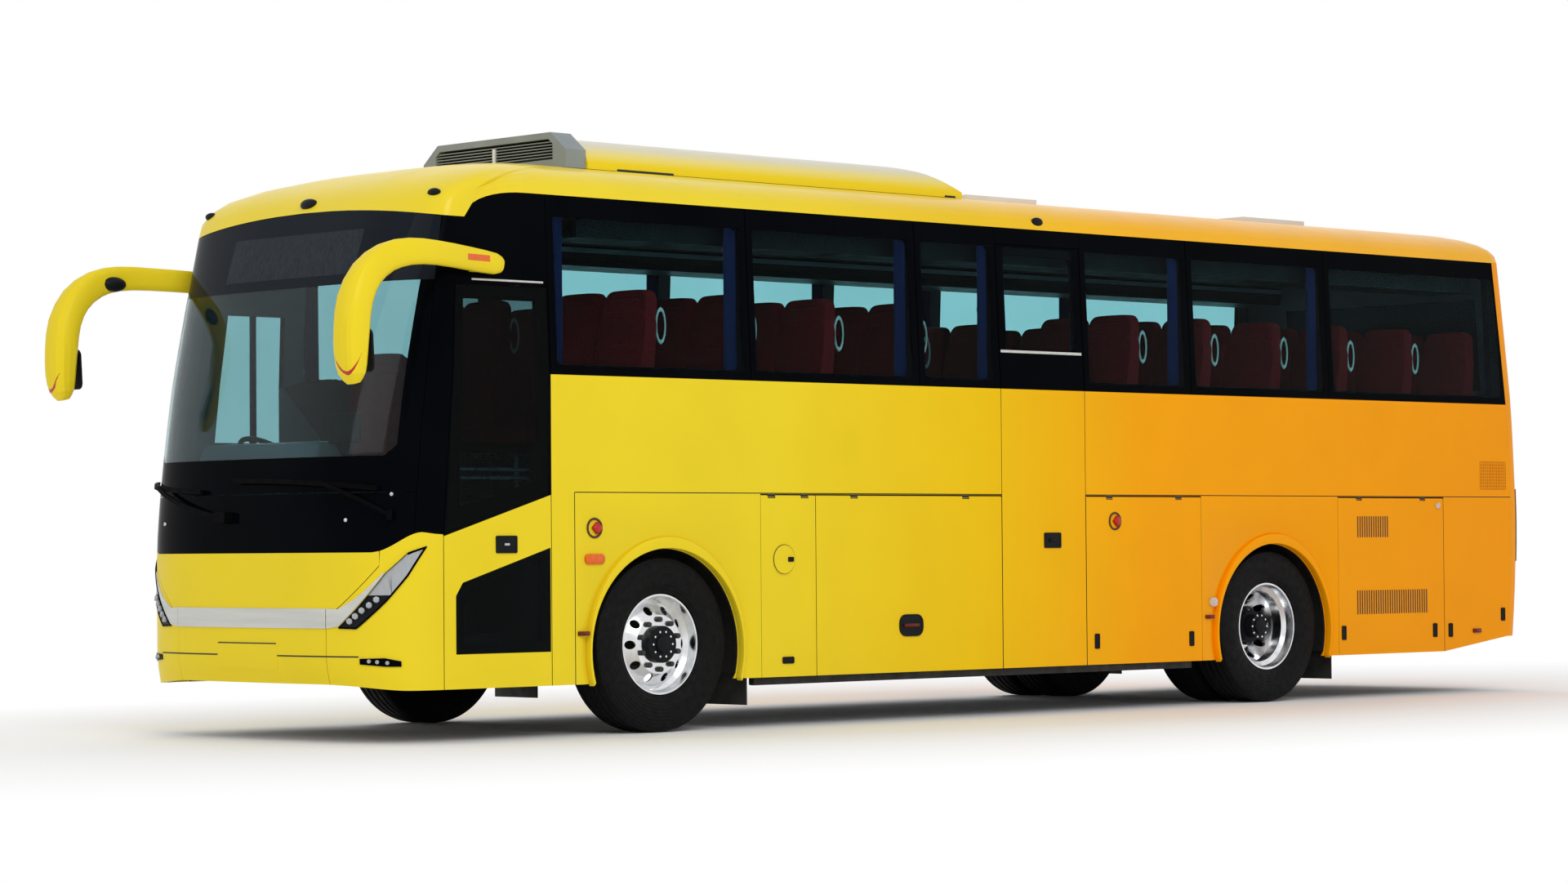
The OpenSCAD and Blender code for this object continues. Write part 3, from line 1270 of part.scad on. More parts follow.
place() underframe();
place() floor_deck();
place() side_wall_left();
place() side_wall_right();
place() roof_shell();
place() front_mask();
place() cowl_panel();
place() pillars();
place() rear_wall();
place() windscreen();
place() side_glass();
place() rear_glass();
place() front_trim();
place() headlamps();
place() tail_lamps();
place() side_lamps();
place() mirrors();
place() mirror_glass();
place() wipers();
place() ac_cover();
place() ac_intake();
place() dashboard();
place() steering_wheel();
place() seat_frames();
place() seat_cushions();
place() seat_backs();
place() parcel_racks();
place() curtains();
place() luggage_bay();
place() wheel_housings();
place() engine_block();
place() front_axle();
place() rear_axle();
place() front_door();
place() front_door_glass();
place() front_door_arm();
place() mid_door();
place() mid_door_glass();
place() mid_door_arm();
place() filler_flap();
place() luggage_door_left();
place() service_flap();
place() engine_flap_left();
place() luggage_door_right_front();
place() luggage_door_right_rear();
place() engine_flap_right();
place() engine_lid();
place() roof_hatch_front();
place() roof_hatch_rear();
place() knuckle_left();
place() knuckle_right();
place() tyre_front_left();
place() rim_front_left();
place() tyre_front_right();
place() rim_front_right();
place() tyres_rear_left();
place() rims_rear_left();
place() tyres_rear_right();
place() rims_rear_right();
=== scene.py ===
# %% [markdown]
# # A yellow airport coach
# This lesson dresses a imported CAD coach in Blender. The CAD part is the fixed frame: every solid of it is in
# metres and stands in its right place. We give each visible piece a good surface, and add the small things that
# are too fine for the solids. Only the rack trays and the curtains are drawn a hand's breadth off their solids.

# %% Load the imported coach
import json
import math
import bpy
from mathutils import Matrix, Vector


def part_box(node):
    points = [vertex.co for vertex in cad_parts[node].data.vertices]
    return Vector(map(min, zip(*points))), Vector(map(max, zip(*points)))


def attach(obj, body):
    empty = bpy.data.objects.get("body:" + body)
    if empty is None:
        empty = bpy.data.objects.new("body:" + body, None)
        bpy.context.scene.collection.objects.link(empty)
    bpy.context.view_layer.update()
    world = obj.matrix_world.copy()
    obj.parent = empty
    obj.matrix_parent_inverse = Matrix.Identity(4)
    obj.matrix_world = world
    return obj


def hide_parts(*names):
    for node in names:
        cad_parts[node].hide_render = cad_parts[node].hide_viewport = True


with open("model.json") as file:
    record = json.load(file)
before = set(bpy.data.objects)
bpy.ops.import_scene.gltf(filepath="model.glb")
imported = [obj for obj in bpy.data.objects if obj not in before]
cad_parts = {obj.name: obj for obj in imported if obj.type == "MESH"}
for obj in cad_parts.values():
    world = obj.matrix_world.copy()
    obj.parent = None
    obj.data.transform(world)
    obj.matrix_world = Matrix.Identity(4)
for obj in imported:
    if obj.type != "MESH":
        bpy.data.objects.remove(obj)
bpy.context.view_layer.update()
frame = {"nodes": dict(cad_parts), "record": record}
body_of = {node: body for body, nodes in frame["record"]["behaviour"]["bodies"].items() for node in nodes}

# %% [markdown]
# ## Camera
# The photograph was taken from ahead and to the left of the coach, a little over a metre above the road, with
# a long lens. A camera looks along its own minus Z, so its three axes are written as the columns of a matrix.
# The roll is small, but it is what makes the road line tilt in the picture.

# %% Camera at the photograph's place
AXLE = 3.025
REAR_AXLE = AXLE - 5.62
BOTH = (1, -1)
HANDS = ((1, "left"), (-1, "right"))
FOCAL_PX, PHOTO_PX, SENSOR_MM = 4884, 1920, 36
CAMERA_PLACE = (15.81 + AXLE, 18.82, 1.09)
YAW, PITCH, ROLL = math.radians(226.34), math.radians(1.53), math.radians(0.441)
ahead = Vector((math.cos(PITCH) * math.cos(YAW), math.cos(PITCH) * math.sin(YAW), math.sin(PITCH)))
right = ahead.cross(Vector((0, 0, 1))).normalized()
down = ahead.cross(right)
right_rolled = right * math.cos(ROLL) + down * math.sin(ROLL)
down_rolled = down * math.cos(ROLL) - right * math.sin(ROLL)
lens_data = bpy.data.cameras.new("photo_camera")
lens_data.sensor_width = SENSOR_MM
lens_data.lens = SENSOR_MM * FOCAL_PX / PHOTO_PX
lens_data.clip_end = 300
camera = bpy.data.objects.new("photo_camera", lens_data)
turn = Matrix((right_rolled, -down_rolled, -ahead)).transposed().to_4x4()
camera.matrix_world = Matrix.Translation(CAMERA_PLACE) @ turn
bpy.context.collection.objects.link(camera)
bpy.context.scene.camera = camera
print("camera:", tuple(round(v, 3) for v in camera.location), "lens", round(lens_data.lens, 2))

# %% [markdown]
# ## Working by hand, in code
# An operator acts on whatever is selected, so every step starts by deselecting all and taking one piece.
# These few helpers stand for the mouse: take a piece, go in and out of edit mode, select faces by their place,
# apply a modifier, and hand the finished piece over to the CAD body that it moves with.

# %% Helpers that stand for the mouse
def take(*pieces):
    if bpy.context.object and bpy.context.object.mode != "OBJECT":
        bpy.ops.object.mode_set(mode="OBJECT")
    bpy.ops.object.select_all(action="DESELECT")
    for piece in pieces:
        piece.select_set(True)
    bpy.context.view_layer.objects.active = pieces[0]


def edit(piece, mode="FACE"):
    take(piece)
    bpy.ops.object.mode_set(mode="EDIT")
    bpy.ops.mesh.select_mode(type=mode)
    bpy.ops.mesh.select_all(action="SELECT")


def done():
    bpy.ops.object.mode_set(mode="OBJECT")


def pick(piece, wanted, kind="FACE"):
    edit(piece, kind)
    bpy.ops.mesh.select_all(action="DESELECT")
    done()
    mesh = piece.data
    for item in {"FACE": mesh.polygons, "EDGE": mesh.edges, "VERT": mesh.vertices}[kind]:
        item.select = wanted(item)
    bpy.ops.object.mode_set(mode="EDIT")


def pick_edges(piece, wanted):
    pick(piece, lambda line: wanted(*(piece.data.vertices[i].co for i in line.vertices)), "EDGE")


def inset(piece, wanted, *steps):
    pick(piece, wanted)
    for thickness, depth in steps:
        bpy.ops.mesh.inset(thickness=thickness, depth=depth)
    done()


def modify(piece, kind, **settings):
    take(piece)
    modifier = piece.modifiers.new(kind.lower(), kind)
    for key, value in settings.items():
        setattr(modifier, key, value)
    bpy.ops.object.modifier_apply(modifier=modifier.name)


def hand_over(piece, name, body, finish, angle=35):
    take(piece)
    piece.name = name
    piece.data.name = name
    bpy.ops.object.transform_apply(location=True, rotation=True, scale=True)
    bpy.ops.object.shade_smooth_by_angle(angle=math.radians(angle))
    piece.data.materials.clear()
    piece.data.materials.append(finish)
    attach(piece, body)
    return piece


def cad_copy(node):
    piece = bpy.data.objects.new(node + "_dressed", frame["nodes"][node].data.copy())
    bpy.context.collection.objects.link(piece)
    edit(piece)
    bpy.ops.mesh.remove_doubles(threshold=0.0001)
    bpy.ops.mesh.customdata_custom_splitnormals_clear()
    done()
    piece.data.materials.clear()
    return piece


def dress(node, finish):
    piece = cad_copy(node)
    hand_over(piece, node + "_dressed", body_of[node], finish, 30)
    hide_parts(node)
    return piece


def split(piece, *planes):
    for point, normal in planes:
        edit(piece)
        bpy.ops.mesh.bisect(plane_co=point, plane_no=normal)
        done()


def at_x(x):
    return (x, 0, 0), (1, 0, 0)


def at_y(y):
    return (0, y, 0), (0, 1, 0)


def at_z(z):
    return (0, 0, z), (0, 0, 1)


def outward_of(face):
    return face.normal.y * (1 if face.center.y > 0 else -1)


def from_axis(place, x, z):
    return math.hypot(place.x - x, place.z - z)


def colour_faces(piece, finishes, choose):
    piece.data.materials.clear()
    for finish in finishes:
        piece.data.materials.append(finish)
    for face in piece.data.polygons:
        face.material_index = choose(face)


# %% Helpers that start a new piece
def begin(kind, scale=(1, 1, 1), **settings):
    take(camera)
    bpy.ops.object.select_all(action="DESELECT")
    getattr(bpy.ops.mesh, "primitive_" + kind + "_add")(**settings)
    piece = bpy.context.object
    piece.scale = scale
    bpy.ops.object.transform_apply(location=True, rotation=True, scale=True)
    return piece


def more(piece, kind, places, **settings):
    edit(piece)
    bpy.ops.mesh.select_all(action="DESELECT")
    for place in places:
        getattr(bpy.ops.mesh, "primitive_" + kind + "_add")(**settings, **place)
    done()


def blocks(*items):
    places = [dict(location=centre, scale=size) for centre, size in items]
    piece = begin("cube", size=1, **places[0])
    more(piece, "cube", places[1:], size=1)
    return piece


def rods(*items, sides=24):
    places = [dict(location=centre, rotation=Vector(axis).to_track_quat("Z", "Y").to_euler(), radius=radius,
                   depth=depth) for centre, axis, radius, depth in items]
    piece = begin("cylinder", vertices=sides, **places[0])
    more(piece, "cylinder", places[1:], vertices=sides)
    return piece


def round_edges(piece, wanted, radius):
    pick_edges(piece, wanted)
    bpy.ops.mesh.bevel(offset=radius, segments=4, affect="EDGES")
    done()


def soften(piece, width, segments=2, limit=40):
    modify(piece, "BEVEL", width=width, segments=segments, limit_method="ANGLE", angle_limit=math.radians(limit))
    return piece


def fit_blocks(name, body, finish, width, *items, segments=2):
    return hand_over(soften(blocks(*items), width, segments), name, body, finish)


def fit_rods(name, body, finish, width, *items, sides=24, segments=2):
    return hand_over(soften(rods(*items, sides=sides), width, segments), name, body, finish)


def copy_along(piece, spots):
    edit(piece)
    for before, after in zip(spots, spots[1:]):
        bpy.ops.mesh.duplicate_move(TRANSFORM_OT_translate={"value": Vector(after) - Vector(before)})
    done()


def plates(items, corner, border, recess):
    piece = blocks(*items)
    if corner:
        round_edges(piece, lambda a, b: abs(a.x - b.x) < 1e-5 and abs(a.z - b.z) < 1e-5, corner)
    pick(piece, lambda face: face.normal.y * face.center.y > 0.9 * abs(face.center.y))
    bpy.ops.mesh.inset(thickness=border, depth=-recess, use_individual=True)
    done()
    return soften(piece, 0.0015)


# %% [markdown]
# ## Finishes
# Every finish is a small node tree on Object coordinates, so a pattern has its real size in metres and stays in
# place when a door swings. A value that is the same all over is set on the shader's own socket. What varies,
# such as the dust in the roughness or the grain in the bump, comes from noise.

# %% A workbench for node trees
def sheet_of_nodes(name):
    material = bpy.data.materials.new(name)
    material.use_nodes = True
    return material, material.node_tree.nodes["Principled BSDF"]


def node(material, kind, **settings):
    made = material.node_tree.nodes.new(kind)
    for key, value in settings.items():
        setattr(made, key, value)
    return made


def dial(made, **sockets):
    for key, value in sockets.items():
        made.inputs[key.replace("_", " ")].default_value = value


def wire(material, start, end):
    material.node_tree.links.new(start, end)


def calc(holder, operation, *values):
    made = node(holder, "ShaderNodeMath", operation=operation)
    for socket, value in zip(made.inputs, values):
        if isinstance(value, float):
            socket.default_value = value
        else:
            wire(holder, value, socket)
    return made.outputs["Value"]


def coordinates(material, scale=(1, 1, 1), turn=(0, 0, 0)):
    source = node(material, "ShaderNodeTexCoord")
    mapping = node(material, "ShaderNodeMapping")
    dial(mapping, Scale=scale, Rotation=turn)
    wire(material, source.outputs["Object"], mapping.inputs["Vector"])
    return mapping.outputs["Vector"]


def noise(material, size, detail=3.0, stretch=(1, 1, 1)):
    made = node(material, "ShaderNodeTexNoise")
    dial(made, Scale=1.0 / size, Detail=detail)
    wire(material, coordinates(material, stretch), made.inputs["Vector"])
    return made.outputs["Fac"]


def ramp(material, factor, stops):
    made = node(material, "ShaderNodeValToRGB")
    elements = made.color_ramp.elements
    for element, (place, colour) in ((elements[0], stops[0]), (elements[-1], stops[-1])):
        element.position = place
        element.color = (*colour, 1)
    for place, colour in stops[1:-1]:
        elements.new(place).color = (*colour, 1)
    wire(material, factor, made.inputs["Fac"])
    return made.outputs["Color"]


def grey_range(material, factor, low, high):
    made = node(material, "ShaderNodeMapRange")
    dial(made, To_Min=low, To_Max=high, From_Min=0.3, From_Max=0.7)
    wire(material, factor, made.inputs["Value"])
    return made.outputs["Result"]


def relief(material, shader, height, depth, strength=1.0):
    made = node(material, "ShaderNodeBump")
    dial(made, Strength=strength, Distance=depth)
    wire(material, height, made.inputs["Height"])
    wire(material, made.outputs["Normal"], shader.inputs["Normal"])


def coat(material, shader, colour, size, rough):
    wire(material, colour, shader.inputs["Base Color"])
    wire(material, grey_range(material, noise(material, size), *rough), shader.inputs["Roughness"])


def along(material, axis, low, high):
    place = node(material, "ShaderNodeSeparateXYZ")
    wire(material, node(material, "ShaderNodeTexCoord").outputs["Object"], place.inputs["Vector"])
    made = node(material, "ShaderNodeMapRange")
    dial(made, From_Min=low, From_Max=high)
    wire(material, place.outputs[axis], made.inputs["Value"])
    return made.outputs["Result"]


def surface(name, dark, light, blotch, rough, grain=None, depth=0.0, stretch=(1, 1, 1), **sockets):
    material, shader = sheet_of_nodes(name)
    colour = ramp(material, noise(material, blotch, stretch=stretch), [(0.3, dark), (0.7, light)])
    coat(material, shader, colour, blotch * 0.6, rough)
    if grain:
        relief(material, shader, noise(material, grain, 2.0, stretch), depth)
    dial(shader, **sockets)
    return material


# %% [markdown]
# ### Coach paint
# The paint fades along the coach, from lemon yellow at the nose to orange behind the middle door. A colour ramp
# on the X coordinate does it in one material, so that doors and flaps meet the walls in the same shade. A clear
# coat gives the gloss, and a faint orange-peel relief keeps the reflections from being too perfect. The roof gets a
# copy with a thicker coat, because it is seen at a flat angle and mirrors the pale sky.

# %% Paint that fades along the coach
TAIL_X, NOSE_X = AXLE - 8.6, AXLE + 2.15
paint, paint_shader = sheet_of_nodes("coach_paint")
LEMON, GOLD, ORANGE, DEEP = (0.86, 0.66, 0.022), (0.90, 0.57, 0.004), (1.0, 0.40, 0.0), (1.0, 0.35, 0.0)
ROOF_ORANGE = (1.0, 0.48, 0.0)
hue = ramp(paint, along(paint, "X", TAIL_X, NOSE_X), [(0.0, DEEP), (0.40, ORANGE), (0.55, GOLD), (0.72, LEMON)])
flake = ramp(paint, noise(paint, 0.6), [(0.3, (0.955, 0.955, 0.955)), (0.7, (1.0, 1.0, 1.0))])
tone = node(paint, "ShaderNodeMix", data_type="RGBA", blend_type="MULTIPLY")
dial(tone, Factor=1.0)
wire(paint, hue, tone.inputs["A"])
wire(paint, flake, tone.inputs["B"])
coat(paint, paint_shader, tone.outputs["Result"], 0.25, (0.30, 0.40))
relief(paint, paint_shader, noise(paint, 0.004, 2.0), 0.0001, 0.12)
dial(paint_shader, Coat_Weight=0.08, Coat_Roughness=0.05, IOR=1.12)
roof_paint = paint.copy()
roof_paint.name = "roof_paint"
dial(roof_paint.node_tree.nodes["Principled BSDF"], Coat_Weight=0.3)
for made in roof_paint.node_tree.nodes:
    if made.type == "VALTORGB" and len(made.color_ramp.elements) == 4:
        made.color_ramp.elements[0].color = made.color_ramp.elements[1].color = (*ROOF_ORANGE, 1)
print("paint made")

# %% [markdown]
# ### Black, glass, metal, plastic, cloth and rubber
# The other finishes share one recipe: two tones in broad blotches, a roughness that wanders a little, and a fine
# grain in the relief. The numbers are what makes one of them rubber and another one glass.

# %% The other finishes
black_panel = surface("black_panel", (0.0010, 0.0013, 0.0022), (0.0018, 0.0023, 0.0036), 0.5, (0.08, 0.14), IOR=1.06)
# The black seal finish is rubber seals and joints, and also painted shade on reveals, gaps and arch edges.
black_seal_and_shade = surface("black_seal_and_shade", (0.006, 0.006, 0.006), (0.012, 0.012, 0.012), 0.05, (0.6, 0.75), 0.002, 0.0003)
tinted_glass = surface("tinted_glass", (0.42, 0.68, 0.71), (0.46, 0.73, 0.76), 0.7, (0.0, 0.02), IOR=1.08,
                       Transmission_Weight=1.0)
clear_glass = surface("windscreen_glass", (0.34, 0.51, 0.53), (0.38, 0.55, 0.57), 0.7, (0.0, 0.02), IOR=1.22,
                      Transmission_Weight=1.0)
smoked_glass = surface("smoked_glass", (0.006, 0.009, 0.014), (0.009, 0.013, 0.019), 0.7, (0.02, 0.05), IOR=1.12)
door_glass = surface("door_glass", (0.10, 0.17, 0.18), (0.13, 0.20, 0.21), 0.7, (0.0, 0.02), IOR=1.12,
                     Transmission_Weight=1.0)
display_glass = surface("display_glass", (0.016, 0.021, 0.028), (0.030, 0.036, 0.045), 0.012, (0.1, 0.2),
                        stretch=(1, 1, 0.02), IOR=1.12)
silver_trim = surface("silver_trim", (0.52, 0.52, 0.49), (0.62, 0.62, 0.59), 0.05, (0.28, 0.40), 0.002, 0.0001,
                      (1, 0.05, 1), Metallic=0.25)
lamp_clear = surface("lamp_clear", (0.80, 0.84, 0.88), (0.90, 0.93, 0.96), 0.05, (0.02, 0.08), 0.012, 0.001,
                     (6, 1, 1), Transmission_Weight=0.55, IOR=1.4)
lamp_red = surface("lamp_red", (0.40, 0.010, 0.006), (0.55, 0.020, 0.010), 0.04, (0.08, 0.2), 0.006, 0.001,
                   (1, 6, 1), IOR=1.4)
lamp_amber = surface("lamp_amber", (0.72, 0.10, 0.004), (0.85, 0.16, 0.008), 0.04, (0.08, 0.2), 0.006, 0.001,
                     (6, 1, 1), IOR=1.4)
mirror_face = surface("mirror_face", (0.72, 0.74, 0.76), (0.80, 0.82, 0.84), 0.2, (0.01, 0.05), Metallic=1.0)
grey_plastic = surface("grey_plastic", (0.21, 0.24, 0.25), (0.26, 0.29, 0.30), 0.3, (0.45, 0.6), 0.002, 0.0003)
dark_plastic = surface("dark_plastic", (0.004, 0.0045, 0.006), (0.008, 0.009, 0.011), 0.2, (0.4, 0.55), 0.004, 0.0002,
                       IOR=1.2)
dash_plastic = surface("dash_plastic", (0.15, 0.18, 0.21), (0.20, 0.23, 0.27), 0.3, (0.45, 0.6), 0.004, 0.0002)
lining = surface("grey_lining", (0.060, 0.042, 0.050), (0.078, 0.056, 0.066), 0.4, (0.5, 0.65))
cab_lining = surface("cab_lining", (0.20, 0.22, 0.25), (0.26, 0.28, 0.31), 0.4, (0.5, 0.65))
white_plastic = surface("white_plastic", (0.68, 0.69, 0.69), (0.78, 0.79, 0.78), 0.3, (0.3, 0.45), 0.003, 0.0002)
steel = surface("steel", (0.42, 0.43, 0.44), (0.58, 0.59, 0.60), 0.05, (0.22, 0.4), 0.002, 0.0001, Metallic=1.0)
chassis_black = surface("chassis_black", (0.010, 0.010, 0.010), (0.022, 0.021, 0.019), 0.15, (0.55, 0.8), 0.006,
                        0.0006)
floor_vinyl = surface("floor_vinyl", (0.07, 0.075, 0.08), (0.12, 0.125, 0.13), 0.004, (0.4, 0.6), 0.003, 0.0002)
cast_iron = surface("cast_iron", (0.035, 0.034, 0.032), (0.06, 0.055, 0.05), 0.05, (0.5, 0.75), 0.004, 0.0008,
                    Metallic=0.6)
polished = surface("polished_rim", (0.66, 0.67, 0.69), (0.78, 0.79, 0.80), 0.06, (0.10, 0.2), 0.003, 0.0001,
                   Metallic=1.0)
print("finishes made:", len(bpy.data.materials))


# %% [markdown]
# ### Woven cloth
# Seat covers and curtains are woven: their threads cross at right angles. A picture of cloth could be used, but two
# wave patterns multiplied give the same weave at its true size and stay sharp up close.

# %% Woven cloth for the seats and the curtains
def woven(name, dark, light, thread, rough, sheen):
    material, shader = sheet_of_nodes(name)
    colour = ramp(material, noise(material, 0.02, 4.0), [(0.35, dark), (0.65, light)])
    coat(material, shader, colour, 0.1, (rough - 0.05, rough + 0.05))
    waves = []
    for direction in ("X", "Z"):
        wave = node(material, "ShaderNodeTexWave", wave_type="BANDS", bands_direction=direction)
        dial(wave, Scale=0.314 / thread, Distortion=0.6)
        wire(material, coordinates(material, turn=(0.3, 0.0, 0.2)), wave.inputs["Vector"])
        waves.append(wave.outputs["Fac"])
    relief(material, shader, calc(material, "MULTIPLY", *waves), thread * 0.4, 0.6)
    dial(shader, Sheen_Weight=sheen, IOR=1.2)
    return material


seat_fabric = woven("seat_fabric", (0.12, 0.0035, 0.005), (0.18, 0.006, 0.008), 0.003, 0.85, 0.0)
curtain_cloth = woven("curtain_cloth", (0.009, 0.014, 0.075), (0.015, 0.022, 0.11), 0.002, 0.8, 0.1)
print("cloth made:", seat_fabric.name, curtain_cloth.name)

# %% [markdown]
# ## Painted shell
# The shell panels come straight from the CAD. A copy of each has its loose triangles merged and is shaded smooth,
# so that the glossy paint shows a curve and not facets. The walls are cut along the belt line with Bisect, because
# above it the real coach is black and not yellow. Faces are then coloured by where they look: the edges of every
# opening and the bottom of every panel groove are black, partly the rubber seal and partly painted shade in the gaps,
# the reveals and the arch edges, which draws the gaps, and the inside is lined.

# %% Side walls, yellow below the belt and black above
BELT = 2.10
SKIN = 1.25
SKIRT = 0.32
HINGE_LOW, HINGE_TOP = 1.375, 1.43
CAB_X = 3.6
FLARE = (0.8, 0.97)


# Black on opening edges, arch edges and groove bottoms is partly rubber seal and partly painted shade, standing in for
# the shadow in gaps and reveals.
def wall_part(face):
    outward = outward_of(face)
    if outward < -0.5:
        return 4 if face.center.x > CAB_X else 2
    if FLARE[0] < outward < FLARE[1]:
        return 0
    if face.center.z > BELT:
        return 1
    if abs(outward) < 0.5 and face.center.z > SKIRT:
        return 3
    in_hinge_gap = HINGE_LOW < face.center.z < HINGE_TOP and abs(face.center.y) < SKIN - 0.0003
    return 3 if in_hinge_gap or (outward > 0.5 and abs(face.center.y) < SKIN - 0.002) else 0


for wall in ("side_wall_left", "side_wall_right"):
    piece = dress(wall, paint)
    split(piece, at_z(BELT))
    colour_faces(piece, (paint, black_panel, lining, black_seal_and_shade, cab_lining), wall_part)

# %% Flaps, with dark edges
FLAPS = ("filler_flap", "luggage_door_left", "service_flap", "engine_flap_left", "luggage_door_right_front",
         "luggage_door_right_rear", "engine_flap_right")


# A flap's edges and back are black: partly rubber seal, partly painted shade in the gap round the flap.
def flap_part(face):
    outward = outward_of(face)
    return 0 if outward > 0.5 and abs(face.center.y) > SKIN - 0.01 else 1


for flap in FLAPS:
    colour_faces(dress(flap, paint), (paint, black_seal_and_shade), flap_part)
print("flaps:", len(FLAPS))

# %% Nose, tail and roof
HEART = Vector((-2.6, 0, 1.9))


def looks_in(face, heart):
    return face.normal.dot(face.center - heart) < 0


dress("front_mask", paint)
dress("engine_lid", paint)
tail = dress("rear_wall", paint)


def tail_wall_part(face):
    in_window = abs(face.center.y) < 1.08 and 2.0 < face.center.z < 3.02 and abs(face.normal.x) < 0.4
    return 2 if in_window else (1 if looks_in(face, HEART) else 0)


colour_faces(tail, (paint, lining, black_seal_and_shade), tail_wall_part)
roof = dress("roof_shell", roof_paint)
colour_faces(roof, (roof_paint, lining),
             lambda face: 1 if looks_in(face, Vector((face.center.x * 0.9, 0, 2.6))) else 0)
print("roof faces:", len(roof.data.polygons))

# %% Doors, black above the slanting line
front_leaf = dress("front_door", paint)
LINE_LOW, LINE_HIGH = Vector((AXLE + 1.69, 0, 1.17)), Vector((AXLE + 0.90, 0, 1.405))
line_up = Vector((LINE_HIGH.z - LINE_LOW.z, 0, LINE_LOW.x - LINE_HIGH.x)).normalized()
split(front_leaf, (LINE_LOW, line_up))


# Below the line, the door's edges and inner side are black: painted shade on the reveals, partly rubber seal.
def front_leaf_part(face):
    above = Vector((face.center.x - LINE_LOW.x, 0, face.center.z - LINE_LOW.z)).dot(line_up) > 0
    return 1 if above else (0 if face.normal.y > 0.5 and face.center.y > SKIN - 0.003 else 2)


colour_faces(front_leaf, (paint, black_panel, black_seal_and_shade), front_leaf_part)
mid_leaf = dress("mid_door", paint)
split(mid_leaf, at_z(BELT))
# The middle door's edges and inner side below the belt are black as well: painted shade, partly rubber seal.
colour_faces(mid_leaf, (paint, black_panel, black_seal_and_shade),
             lambda face: 1 if face.center.z > BELT else
             (0 if face.normal.y > 0.5 and face.center.y > SKIN - 0.003 else 2))
print("doors coloured")

# %% [markdown]
# ### Wheel arch lips
# Each wheel arch has a raised lip, broad at the top and running out at both ends. Spin turns a small rectangle round
# the arch, and squeezing only its outer edge along X makes the crescent.

# %% Four arch lips by Spin
ARCH_R, ARCH_Z, LIP_W, LIP_T, LIP_OUT, SQUEEZE = 0.602, 0.490, 0.066, 0.050, 0.011, 0.925
LIP_END = 0.31
start = -math.asin((ARCH_Z - LIP_END) / ARCH_R)


def arch_lip(x, side, name):
    middle = ARCH_R + LIP_W / 2
    piece = begin("plane", size=1, rotation=(0, -start, 0), scale=(LIP_W, LIP_T, 1),
                  location=(x + middle * math.cos(start), side * (SKIN + LIP_OUT - LIP_T / 2),
                            ARCH_Z + middle * math.sin(start)))
    edit(piece)
    bpy.ops.mesh.spin(steps=48, angle=math.pi - 2 * start, center=(x, 0, ARCH_Z), axis=(0, 1, 0))
    bpy.ops.mesh.select_all(action="SELECT")
    bpy.ops.mesh.remove_doubles(threshold=0.0001)
    bpy.ops.mesh.normals_make_consistent(inside=False)
    pick_edges(piece, lambda a, b: min(from_axis(p, x, ARCH_Z) for p in (a, b)) > middle)
    bpy.ops.transform.resize(value=(SQUEEZE, 1, 1), center_override=(x, 0, ARCH_Z))
    done()
    return hand_over(soften(piece, 0.005, 3), name, "body", paint)


for x, where in ((AXLE, "front"), (REAR_AXLE, "rear")):
    for side, hand in HANDS:
        lip = arch_lip(x, side, "arch_lip_" + where + "_" + hand)
print("arch lip top:", round(max(v.co.z for v in lip.data.vertices), 3))

# %% [markdown]
# ## Glass
# The panes are glued on from outside, and a black print round their edge hides the glue. Bisect cuts each pane along
# the edge of that print, and the faces beyond it turn black. The windscreen is black below the dashboard, and smoked
# at the top, where the destination display sits behind it.

# %% Windscreen with its print
SEE_LOW, SEE_TOP, SEE_SIDE = 1.625, 2.62, 1.130
SIGN_LOW, SIGN_TOP, SIGN_SIDE = 2.68, 2.94, 0.62
screen = dress("windscreen", clear_glass)
split(screen, at_z(SEE_LOW), at_z(SEE_TOP), at_y(SEE_SIDE),
      at_y(-SEE_SIDE), ((0, SEE_SIDE - 0.06, SEE_LOW), (0, 1, -1)),
      ((0, 0.06 - SEE_SIDE, SEE_LOW), (0, -1, -1)), at_y(SIGN_SIDE), at_y(-SIGN_SIDE),
      at_z(SIGN_LOW), at_z(SIGN_TOP))


def screen_part(face):
    y, z = abs(face.center.y), face.center.z
    if z > SEE_TOP:
        return 3 if SIGN_LOW < z < SIGN_TOP and y < SIGN_SIDE else 2
    return 1 if z < SEE_LOW or y > SEE_SIDE or y - (SEE_SIDE - 0.06) > z - SEE_LOW else 0


colour_faces(screen, (clear_glass, black_panel, smoked_glass, display_glass), screen_part)
print("windscreen faces:", len(screen.data.polygons))

# %% Side panes with their print
PANE_LOW, PANE_TOP = 2.15, 3.02
SEAMS_LEFT = [AXLE + x for x in (0.90, -0.685, -2.145, -2.885, -3.69, -4.765, -6.245, -8.32)]
SEAMS_RIGHT = [AXLE + x for x in (0.90, -0.685, -2.145, -3.69, -4.765, -6.245, -8.32)]
PRINT_W = 0.055
panes = dress("side_glass", tinted_glass)
split(panes, at_z(PANE_LOW), at_z(PANE_TOP))
for x in SEAMS_LEFT:
    split(panes, at_x(x - PRINT_W), at_x(x + PRINT_W))


def pane_part(face):
    x, y, z = face.center
    if x > AXLE + 0.93:
        return 0
    seams = SEAMS_LEFT if y > 0 else SEAMS_RIGHT
    return 1 if z < PANE_LOW or z > PANE_TOP or min(abs(x - seam) for seam in seams) < PRINT_W else 0


colour_faces(panes, (tinted_glass, black_panel), pane_part)

# %% Door and rear glass
BAR_LOW, BAR_TOP = 2.335, 2.352
mid_pane = dress("mid_door_glass", tinted_glass)
low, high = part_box("mid_door_glass")
split(mid_pane, at_x(low.x + PRINT_W), at_x(high.x - PRINT_W),
      at_z(PANE_TOP), at_z(BAR_LOW), at_z(BAR_TOP))


